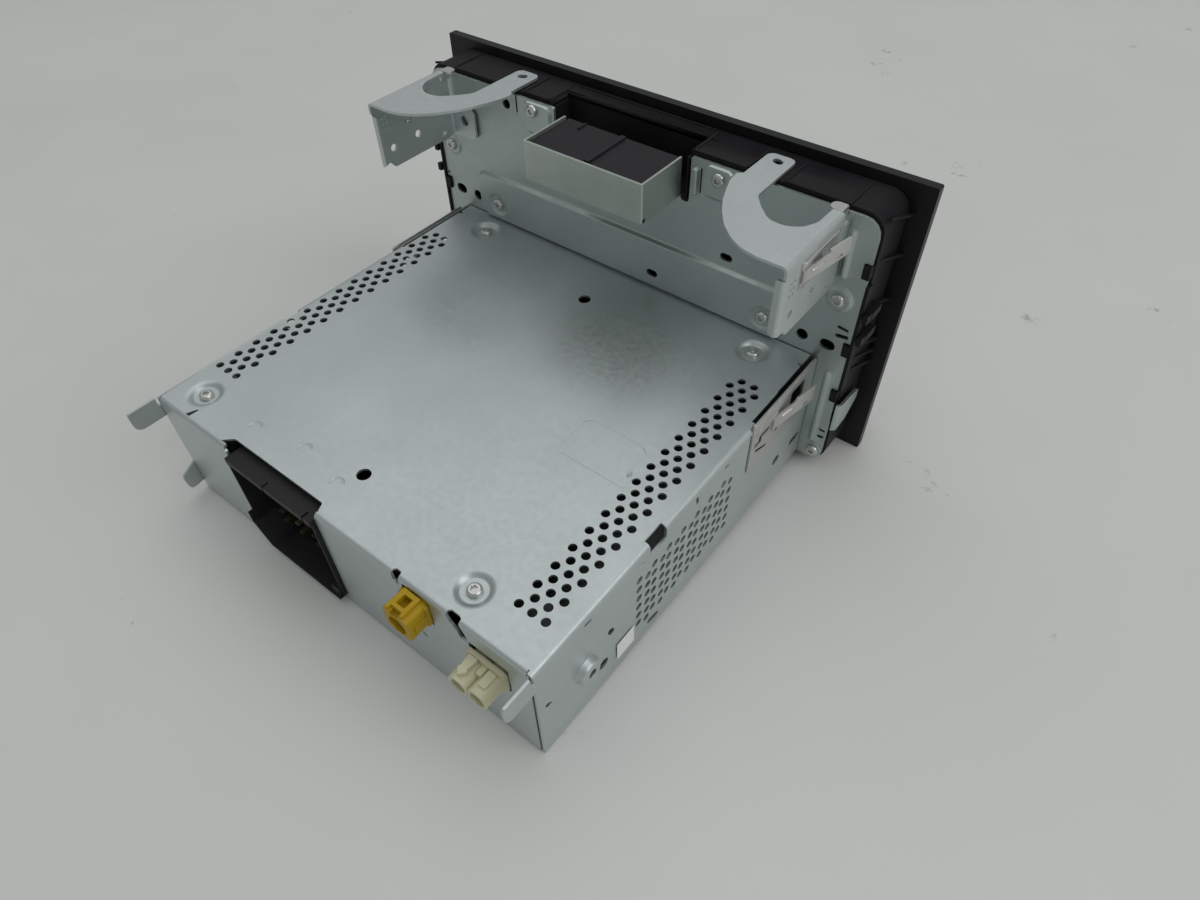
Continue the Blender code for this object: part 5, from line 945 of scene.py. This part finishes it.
mainSocket = {"mouth": 160.4, "shelf": 153.6, "floor": 143.5,
              "outer": [(2.0, 3.8, 1.0), (41.0, 3.8, 1.0), (47.4, 12.6, 1.2), (47.4, 44.0, 0.8),
                        (2.0, 44.0, 0.8)],
              "inner": [(2.7, 4.5, 0.8), (40.7, 4.5, 0.8), (46.7, 12.9, 1.0), (46.7, 43.2, 0.6),
                        (2.7, 43.2, 0.6)],
              "lowerBay": [(3.4, 5.2, 0.8), (40.4, 5.2, 0.8), (46.0, 13.2, 1.0),
                           (46.0, 21.4, 0.8), (3.4, 21.4, 0.8)],
              "upperBay": (3.4, 46.0, 23.0, 42.4, 0.8),
              "lip": [(41.4, 3.2, 0.6), (48.2, 12.4, 0.8), (48.2, 18.0, 0.4), (47.4, 18.0),
                      (47.4, 12.8, 0.6), (41.0, 4.0, 0.4), (2.4, 4.0), (2.4, 3.2)],
              "bar": [(2.2, 148.0, 0.5), (47.0, 148.0, 0.5), (47.0, 160.9, 0.5),
                      (26.6, 160.9, 0.2), (26.6, 158.4, 0.2), (25.9, 158.4, 0.2),
                      (25.9, 160.9, 0.2), (6.2, 160.9, 0.2), (6.2, 158.0, 0.2),
                      (5.5, 158.0, 0.2), (5.5, 160.9, 0.2), (2.2, 160.9, 0.5)]}


def hollowBlock(bm, outline, mouth, plane, rear, front, depth):
    # a block whose mouth is sunk into its outer end; rear, front are heights over the plane
    fillLoops(bm, drawLoop(bm, outline, plane, front) + drawLoop(bm, mouth, plane, front), plane)
    press(bm, plane, [(outline, front), (outline, rear)])
    press(bm, plane, [(mouth, front), (mouth, front - depth)])


def buildMainSocket():
    bm = bmesh.new()
    plane = facingRear
    front, shelf, rear = mainSocket["mouth"], mainSocket["shelf"], mainSocket["floor"]
    outer, inner = rounded(mainSocket["outer"]), rounded(mainSocket["inner"])
    bays = [rounded(mainSocket["lowerBay"]), rectangle(*mainSocket["upperBay"])]
    # one deep mouth, a shelf well inside it, then the two bays
    fillLoops(bm, drawLoop(bm, outer, plane, front) + drawLoop(bm, inner, plane, front), plane)
    press(bm, plane, [(outer, front), (outer, rear - 0.2)])
    press(bm, plane, [(inner, front), (inner, shelf)], bays)
    for bay in bays:
        press(bm, plane, [(bay, shelf), (bay, rear)])
    # the lip under the mouth with its corner block, and the slit bar above the mouth
    slab(bm, [rounded(mainSocket["lip"])], plane, 159.2, 162.0)
    slab(bm, [rectangle(2.6, 6.6, 4.2, 8.8, 0.6)], plane, 158.4, 161.2)
    slab(bm, [rounded(mainSocket["bar"], 3)], facingUp, 44.1, 46.6)
    finishMesh("mainSocket", bm, socketBlack, "chassis", ("quadlock_header",),
               0, 0.12)


# outlines of the single socket are (x from its middle, z); frames on top are (x, y)
aerials = {"floor": 150.6, "depth": 7.0, "collarRear": 159.1,
           "singleMiddle": (-43.5, 40.9), "singleEnd": 167.2, "singleMouth": (3.5, 3.8, 3.5),
           "single": [(-5.2, 36.8, 2.8), (-2.9, 36.3, 0.6), (2.9, 36.3, 0.6), (5.2, 36.8, 2.8),
                      (5.2, 46.2, 1.6), (3.0, 47.0, 0.5), (1.7, 47.0, 0.2), (1.7, 45.0, 0.2),
                      (-1.7, 45.0, 0.2), (-1.7, 47.0, 0.2), (-3.0, 47.0, 0.5), (-5.2, 46.2, 1.6)],
           "collar": [(-5.6, 35.9, 1.5), (5.6, 35.9, 1.5), (5.6, 46.2, 0.8), (3.6, 46.6, 0.3),
                      (-3.6, 46.6, 0.3), (-5.6, 46.2, 0.8)],
           "latchFrame": [(-46.9, 159.4, 0.3), (-40.1, 159.4, 0.3), (-40.1, 166.8, 0.5),
                          (-41.2, 167.0, 0.3), (-41.2, 165.6, 0.2), (-45.8, 165.6, 0.2),
                          (-45.8, 167.0, 0.3), (-46.9, 166.8, 0.5)],
           "latchWindow": (-45.4, -41.9, 160.9, 164.4, 0.3),
           "barrels": [(-75.0, 168.2), (-67.8, 168.4)], "barrelLevel": 34.9,
           "barrelRadius": 3.75, "barrelMouth": 2.7,
           "finger": [(-69.5, 160.7, 0.3), (-66.1, 160.7, 0.3), (-66.6, 165.0, 0.4),
                      (-65.9, 165.2, 0.2), (-67.8, 167.4, 0.3), (-69.7, 165.2, 0.2),
                      (-69.0, 165.0, 0.4)]}


def buildSingleAerial():
    bm = bmesh.new()
    x, z = aerials["singleMiddle"]
    wide = aerials["singleMouth"]
    outline, collar = (rounded([(x + point[0],) + point[1:] for point in aerials[key]])
                       for key in ("single", "collar"))
    mouth = [(x + r * math.cos(a), z + r * math.sin(a))
             for r, a in [(wide[i % 3], math.tau * (i + 0.5) / 24) for i in range(24)]]
    hollowBlock(bm, outline, mouth, facingRear, aerials["floor"], aerials["singleEnd"],
                aerials["depth"])
    pin = ring(x, z, 0.7, 10)
    press(bm, facingRear, [(pin, 160.2), (pin, 165.4)])
    # the latch frame on top with its open window, and the collar at the wall
    slab(bm, [rounded(aerials["latchFrame"], 3), rectangle(*aerials["latchWindow"])],
         facingUp, 46.7, 48.2)
    slab(bm, [collar], facingRear, aerials["collarRear"], 160.5)
    for side in (-1, 1):
        cheek = Matrix(((0, 0, side, x + side * 5.0), (0, 1, 0, 0), (1, 0, 0, 0), (0, 0, 0, 1)))
        slab(bm, [rectangle(38.6, 42.6, 160.4, 165.2, 0.4)], cheek, 0, 0.7)
    finishMesh("aerialSocketOchre", bm, ochrePlastic, "chassis",
               ("antenna_socket_yellow",), 0, 0.3)


def buildDoubleAerial():
    bm = bmesh.new()
    level = aerials["barrelLevel"]
    for middle, end in aerials["barrels"]:
        hollowBlock(bm, arcOf(middle, level, aerials["barrelRadius"], -250, 70, 28),
                    ring(middle, level - 0.2, aerials["barrelMouth"], 24), facingRear,
                    aerials["floor"], end, aerials["depth"])
        pin = ring(middle, level - 0.3, 0.6, 10)
        press(bm, facingRear, [(pin, 161.2), (pin, 166.0)])
    slab(bm, [rectangle(-79.0, -63.9, 30.6, 40.4, 1.5)], facingRear, aerials["collarRear"], 160.6)
    slab(bm, [rectangle(-72.6, -70.4, 32.0, 38.6, 0.4)], facingRear, 160.5, 163.6)
    # latch finger on the one, a flat rib on the other
    slab(bm, [rounded(aerials["finger"], 3)], facingUp, 38.0, 40.4)
    slab(bm, [rectangle(-76.4, -73.6, 160.7, 165.8, 0.5)], facingUp, 37.9, 39.2)
    finishMesh("aerialSocketsCream", bm, creamPlastic, "chassis",
               ("antenna_socket_cream",), 0, 0.3)


buildMainSocket()
buildSingleAerial()
buildDoubleAerial()
print("radio: sockets made")


# housing between the steel plate and the front panel

housing = {"rear": -1.6, "middle": -12.1, "front": -19.9, "left": 35.8, "right": -27.8,
           "top": 110.7, "roof": 108.4, "seamLow": 110.2, "seamHigh": 111.15,
           "outer": (-100, 100, -1.4, 110.7, 7, 6), "inner": (-97.7, 97.7, 0.9, 108.4, 4.7, 6),
           "hooks": (103.0, 88.0, 70.0, 52.0, 46.5, 41.0), "hookRise": 5.5,
           "latches": (36.0, 58.0, 91.0), "catches": (64.0, 73.5)}


def buildHousingFrame():
    bm = bmesh.new()
    rear, middle, front = housing["rear"], housing["middle"], housing["front"]
    left, right, top, roof = (housing[key] for key in ("left", "right", "top", "roof"))
    outer, inner = rectangle(*housing["outer"]), rectangle(*housing["inner"])
    # a C-shaped section open over the rear box, and the bridge that closes it in front
    turn = [i for i, point in enumerate(outer) if point[1] > top - 0.1][-1]
    start = [i for i, point in enumerate(inner) if point[1] > roof - 0.1][-1]
    section = (outer[:turn] + [(left, top), (left, roof)] + inner[:start][::-1]
               + inner[start:][::-1] + [(right, roof), (right, top)] + outer[turn:])
    faces = fillFlat(bm, [section], facingRear, front)
    faces += fillFlat(bm, [[(right, roof), (left, roof), (left, top), (right, top)]], facingRear,
                      front)
    bmesh.ops.remove_doubles(bm, verts=bm.verts, dist=0.001)
    made = bmesh.ops.extrude_face_region(bm, geom=faces)["geom"]
    moved = [v for v in made if isinstance(v, bmesh.types.BMVert)]
    bmesh.ops.translate(bm, verts=moved, vec=(0, middle - front, 0))
    further = [f for f in made if isinstance(f, bmesh.types.BMFace)
               and not (right < f.calc_center_median().x < left and f.calc_center_median().z > 100)]
    thicken(bm, further, (0, rear - middle, 0))
    finishMesh("housingFrame", bm, housingBlack, "chassis", ("housing",), 0, 0.3)


def buildHousingRibs():
    # seams of the top, walls of the recess, and on each side ribs, hooks and latches
    bm = bmesh.new()
    rear, middle, front = housing["rear"], housing["middle"], housing["front"]
    left, right = housing["left"], housing["right"]
    near, far, edge = front + 3, front + 1, -2.6
    for x0, x1, y0, y1 in (
            (36.2, 37.2, near, rear), (48.6, 49.4, near, rear), (36.2, 49.4, edge, rear),
            (63.6, 64.4, near, rear), (63.6, 86.6, edge, rear), (86.2, 87.0, far, rear),
            (-49.8, -28.2, edge, rear), (-29.2, -28.2, near, rear), (-49.8, -49.0, near, rear),
            (-64.4, -63.6, near, rear), (-87.0, -63.6, edge, rear), (-87.4, -86.6, far, rear),
            (28.0, 35.4, -13.2, -12.3), (-27.0, 35.4, -18.6, -17.8)):
        brick(bm, x0, x1, y0, y1, housing["seamLow"], housing["seamHigh"])
    brick(bm, right - 1.0, left + 1.0, middle - 1.0, middle, 92.4, 110.2)
    brick(bm, right - 0.9, left + 0.9, middle + 0.05, -0.3, 92.0, 93.0)
    for x in (right, left - 0.9):
        brick(bm, x, x + 0.9, middle + 0.05, -0.5, 93.05, 108.3)
    for z in housing["hooks"]:
        for side in (1, -1):
            # slanting hooks that rise and thin out towards the front
            for vert in brick(bm, *sorted((side * 99.6, side * 102.4)), front + 0.3, -4.0, z, z + 0.9):
                if vert.co.y > -10:
                    vert.co.z += housing["hookRise"]
                    if abs(vert.co.x) > 100:
                        vert.co.x = side * 100.3
    for side in (1, -1):
        brick(bm, *sorted((side * 99.3, side * 100.6)), rear - 1.0, 0.9, 39.5, 86.0)
        for z in housing["latches"]:
            brick(bm, *sorted((side * 96.9, side * 99.6)), rear - 0.8, 1.1, z - 2.5, z + 2.5)
        for z in housing["catches"]:
            brick(bm, *sorted((side * 99.6, side * 103.2)), -9.5, -2.0, z - 1.7, z + 1.7)
            for vert in brick(bm, *sorted((side * 101.1, side * 103.0)), -3.0, 1.8, z - 1.5, z + 1.5):
                if vert.co.y > 0:
                    vert.co.z += 0.9 if vert.co.z > z else 0.4
    finishMesh("housingRibs", bm, housingBlack, "chassis", (), 0, 0.2)


# the front as (x, z); y falls towards its face
fascia = {"edge": (-107.4, 107.4, -4.5, 114.1, 0.7, 4), "screen": (-70, 70, 35, 108, 2, 4),
          "front": -23.9, "rear": -20.35,
          "keyPlace": (84.8, 46.0), "keyStep": 16.5, "keyHalf": (10.5, 7.0), "keyRoom": 0.3,
          "knobPlace": (88.5, 12.5), "knobHole": 3.4,
          "slits": (34.26, 106.8), "slitOut": 92.5, "slitHalf": (0.6, 2.5),
          "ejectPlace": (0, 9.5), "ejectHalf": (8.0, 2.75), "ejectHole": (-8.3, 8.3, 6.45, 12.55, 0.8),
          "slot": (-62.75, 62.75, 18.4, 25.6, 0.8), "lips": ((18.6, 21.1), (22.9, 25.4)),
          "rim": (-69.7, 69.7, 35.3, 107.7, 1.8), "rimInside": (-67.6, 67.6, 37.4, 105.6, 1.4),
          "pane": (-69.65, 69.65, 35.35, 107.65, 1.9)}


def keyPlace(side, row):
    x, z = fascia["keyPlace"]
    return side * x, z + fascia["keyStep"] * row


def buildFascia():
    bm = bmesh.new()
    loops = [rectangle(*fascia["edge"]), rectangle(*fascia["screen"])]
    halfWide, halfHigh = (half + fascia["keyRoom"] for half in fascia["keyHalf"])
    thin, tall = fascia["slitHalf"]
    for side in (1, -1):
        for row in range(4):
            x, z = keyPlace(side, row)
            loops.append(rectangle(x - halfWide, x + halfWide, z - halfHigh, z + halfHigh, 0.8))
        x, z = fascia["knobPlace"]
        loops.append(ring(side * x, z, fascia["knobHole"], 24))
        for z in fascia["slits"]:
            x = side * fascia["slitOut"]
            loops.append(rectangle(x - thin, x + thin, z - tall, z + tall, 0.3))
    loops += [rectangle(*fascia["ejectHole"]), rectangle(*fascia["slot"])]
    slab(bm, loops, facingRear, fascia["front"], fascia["rear"])
    finishMesh("frontPanel", bm, panelBlack, "chassis", ("fascia",), 0, 0.25,
               segments=3)
    # the felt lips of the slot and the raised rim round the screen
    bm = bmesh.new()
    for low, high in fascia["lips"]:
        slab(bm, [rectangle(-62.6, 62.6, low, high, 0.5)], facingRear, -22.9, -21.6)
    finishMesh("slotLips", bm, rollerRubber, "chassis", (), 0, 0.3)
    bm = bmesh.new()
    slab(bm, [rectangle(*fascia["rim"]), rectangle(*fascia["rimInside"])], facingRear,
         -23.95, -23.4)
    finishMesh("screenRim", bm, panelBlack, "chassis", (), 0, 0.15)
    bm = bmesh.new()
    slab(bm, [rectangle(*fascia["pane"])], facingRear, -23.55, -20.4)
    finishMesh("screenPane", bm, screenGlass, "chassis", ("display_glass",), 0, 0.15)


keyCap = {"collar": 0.9, "collarDepth": (-20.0, -18.5), "stemShare": 1.7, "stemHalf": 2.6,
          "stemDepth": (-18.6, -16.1),
          "skin": [(0, -19.9), (0, -24.7), (0.25, -25.0), (0.8, -25.2), (2.6, -25.3)]}


def buildKey(name, place, half, body):
    # a collar behind the panel, a stem to its switch and a soft-edged cap
    bm = bmesh.new()
    (x, z), (wide, high), collar = place, half, keyCap["collar"]
    slab(bm, [rectangle(x - wide - collar, x + wide + collar, z - high - collar, z + high + collar,
                        0.6)], facingRear, *keyCap["collarDepth"])
    stem = wide / keyCap["stemShare"]
    slab(bm, [rectangle(x - stem, x + stem, z - keyCap["stemHalf"], z + keyCap["stemHalf"], 0.4)],
         facingRear, *keyCap["stemDepth"])
    press(bm, facingRear, [(rectangle(x - wide + inset, x + wide - inset, z - high + inset,
                                      z + high - inset, max(0.3, 0.8 - inset / 4)), w)
                           for inset, w in keyCap["skin"]])
    finishMesh(name, bm, panelBlack, body, (body,), 0, 0.0)


# a knob's skin from its rear edge over the fluted grip to the cap, then its hollow
# with the bore for the shaft, as (radius, depth of the flutes, y)
knob = {"flutes": 96,
        "skin": [(11.1, 0, -27.6), (11.1, 0, -25.1), (12.3, 0, -25.1), (12.45, 0.32, -25.6),
                 (12.45, 0.32, -35.6), (12.0, 0.1, -36.3), (11.2, 0, -36.8), (9.6, 0, -36.95),
                 (9.2, 0, -36.55), (3.0, 0, -36.5)],
        "hollow": [(11.1, 0, -27.6), (11.1, 0, -34.2), (5.2, 0, -34.2), (5.2, 0, -25.1),
                   (3.35, 0, -25.1), (3.35, 0, -34.1)],
        "mark": (0.4, 6.0, 9.0), "markDepth": (-36.95, -36.4)}


def fluted(x, z, radius, depth):
    count = knob["flutes"]
    return [(x + (radius - (depth if i % 2 else 0)) * math.cos(math.tau * i / count),
             z + (radius - (depth if i % 2 else 0)) * math.sin(math.tau * i / count))
            for i in range(count)]


def buildKnob(label, side):
    bm = bmesh.new()
    x, z = side * fascia["knobPlace"][0], fascia["knobPlace"][1]
    for profile in (knob["skin"], knob["hollow"]):
        press(bm, facingRear, [(fluted(x, z, radius, depth), w) for radius, depth, w in profile])
    finishMesh(label + "Knob", bm, panelBlack, label + "_knob",
               (label + "_knob",), 0, 0.0)
    bm = bmesh.new()
    half, low, high = knob["mark"]
    brick(bm, x - half, x + half, *knob["markDepth"], z + low, z + high)
    finishMesh(label + "KnobMark", bm, creamPlastic, label + "_knob", (), 0, 0.1)


buildHousingFrame()
buildHousingRibs()
buildFascia()
for side in (1, -1):
    for row in range(4):
        body = "key_%s_%d" % (sideName[side].lower(), row + 1)
        buildKey("key" + sideName[side] + str(row + 1), keyPlace(side, row), fascia["keyHalf"], body)
buildKey("ejectKeyCap", fascia["ejectPlace"], fascia["ejectHalf"], "eject_key")
buildKnob("volume", 1)
buildKnob("tune", -1)
print("radio: front made")


# the pieces inside keep the solids' shapes and get their finish here
keptLooks = {
    innerSteel: ("drive_tray", "drive_lid", "tuner_module"),
    screwSteel: ("spindle_motor", "volume_shaft", "tune_shaft"),
    contactTin: ("pin_block",),
    insertBlack: ("disc_chute", "pickup_sled", "turntable"),
    boardGreen: ("main_board", "front_board"),
    sinkAluminium: ("heat_sink", "display_panel"),
    rollerRubber: ("feed_roller",),
    creamPlastic: ("ribbon_cable",),
    labelPaper: ("blank_label",)}
for material, names in keptLooks.items():
    for name in names:
        data = nodes[name].data
        data.materials.clear()
        data.materials.append(material)


# studio: places of lamps in metres, of the camera in millimetres from the plate
studio = {"floorColour": (0.71, 0.715, 0.69), "markColour": (0.22, 0.21, 0.19, 1.0),
          "floorSize": 3.0, "panelFoot": (0, -24.0, -4.62), "chassisFoot": (0, 159.0, 0.0),
          "worldColour": (0.84, 0.87, 0.88), "worldStrength": 0.37,
          "lamps": [("windowLamp", (-1.6, -0.2, 1.3), (1.8, 1.4), 10.5),
                    ("ceilingLamp", (0.4, -0.4, 2.1), (2.8, 2.8), 15.0)],
          "lens": 24.28, "sensor": 36.0, "cameraPlace": (-166.2, 223.8, 247.2),
          "cameraRight": (-0.78919, -0.61392, -0.01674),
          "cameraDown": (-0.4453, 0.5907, -0.6729),
          "cameraAhead": (0.42299, -0.52359, -0.73955)}


def buildFloor():
    # a pale board that the panel's lower edge and the chassis's rear edge rest on
    low, high = placed(*studio["panelFoot"]), placed(*studio["chassisFoot"])
    slope = math.atan2(high.z - low.z, high.y - low.y)
    bm = bmesh.new()
    bmesh.ops.create_grid(bm, x_segments=8, y_segments=8, size=studio["floorSize"])
    turn = Matrix.Translation(high) @ Matrix.Rotation(slope, 4, "X")
    bmesh.ops.transform(bm, matrix=turn, verts=bm.verts)
    mesh = bpy.data.meshes.new("studioFloor")
    bm.to_mesh(mesh)
    bm.free()
    floor = bpy.data.objects.new("studioFloor", mesh)
    scene.collection.objects.link(floor)
    material, tree, shader, where = newMaterial("paleFloor")
    mottle = useGroup(tree, mottleGroup, Cloud_Scale=5.0)
    tree.links.new(where, mottle.inputs["Vector"])
    colour = studio["floorColour"]
    tone = mixed(tree, mottle.outputs["Cloud"], tuple(c * 0.95 for c in colour) + (1.0,),
                 colour + (1.0,))
    marks = remap(tree, noise(tree, where, 24.0, 6.0, 0.75), 0.66, 0.72)
    tone = mixed(tree, maths(tree, "MULTIPLY", marks, 0.6), tone, studio["markColour"])
    tree.links.new(tone, shader.inputs["Base Color"])
    shader.inputs["Roughness"].default_value = 0.6
    mesh.materials.append(material)


def buildCamera():
    data = bpy.data.cameras.new("photoCamera")
    data.lens = studio["lens"]
    data.sensor_width = studio["sensor"]
    data.clip_start, data.clip_end = 0.01, 20.0
    camera = bpy.data.objects.new("photoCamera", data)
    scene.collection.objects.link(camera)
    right, down, ahead = (Vector(studio["camera" + way]) for way in ("Right", "Down", "Ahead"))
    matrix = Matrix((right, -down, -ahead)).transposed().to_4x4()
    matrix.translation = placed(*studio["cameraPlace"])
    camera.matrix_world = matrix
    scene.camera = camera


def addLamp(name, place, size, power):
    # a soft panel that faces the radio
    data = bpy.data.lights.new(name, "AREA")
    data.shape = "RECTANGLE"
    data.size, data.size_y = size
    data.energy = power
    lamp = bpy.data.objects.new(name, data)
    scene.collection.objects.link(lamp)
    lamp.location = place
    lamp.rotation_mode = "QUATERNION"
    lamp.rotation_quaternion = (-Vector(place)).to_track_quat("-Z", "Y")


def buildLight():
    world = bpy.data.worlds.new("studioWorld")
    scene.world = world
    world.use_nodes = True
    background = world.node_tree.nodes["Background"]
    background.inputs["Color"].default_value = studio["worldColour"] + (1.0,)
    background.inputs["Strength"].default_value = studio["worldStrength"]
    for lamp in studio["lamps"]:
        addLamp(*lamp)


buildFloor()
buildCamera()
buildLight()
scene.view_settings.view_transform = "Standard"
print("radio: studio ready")
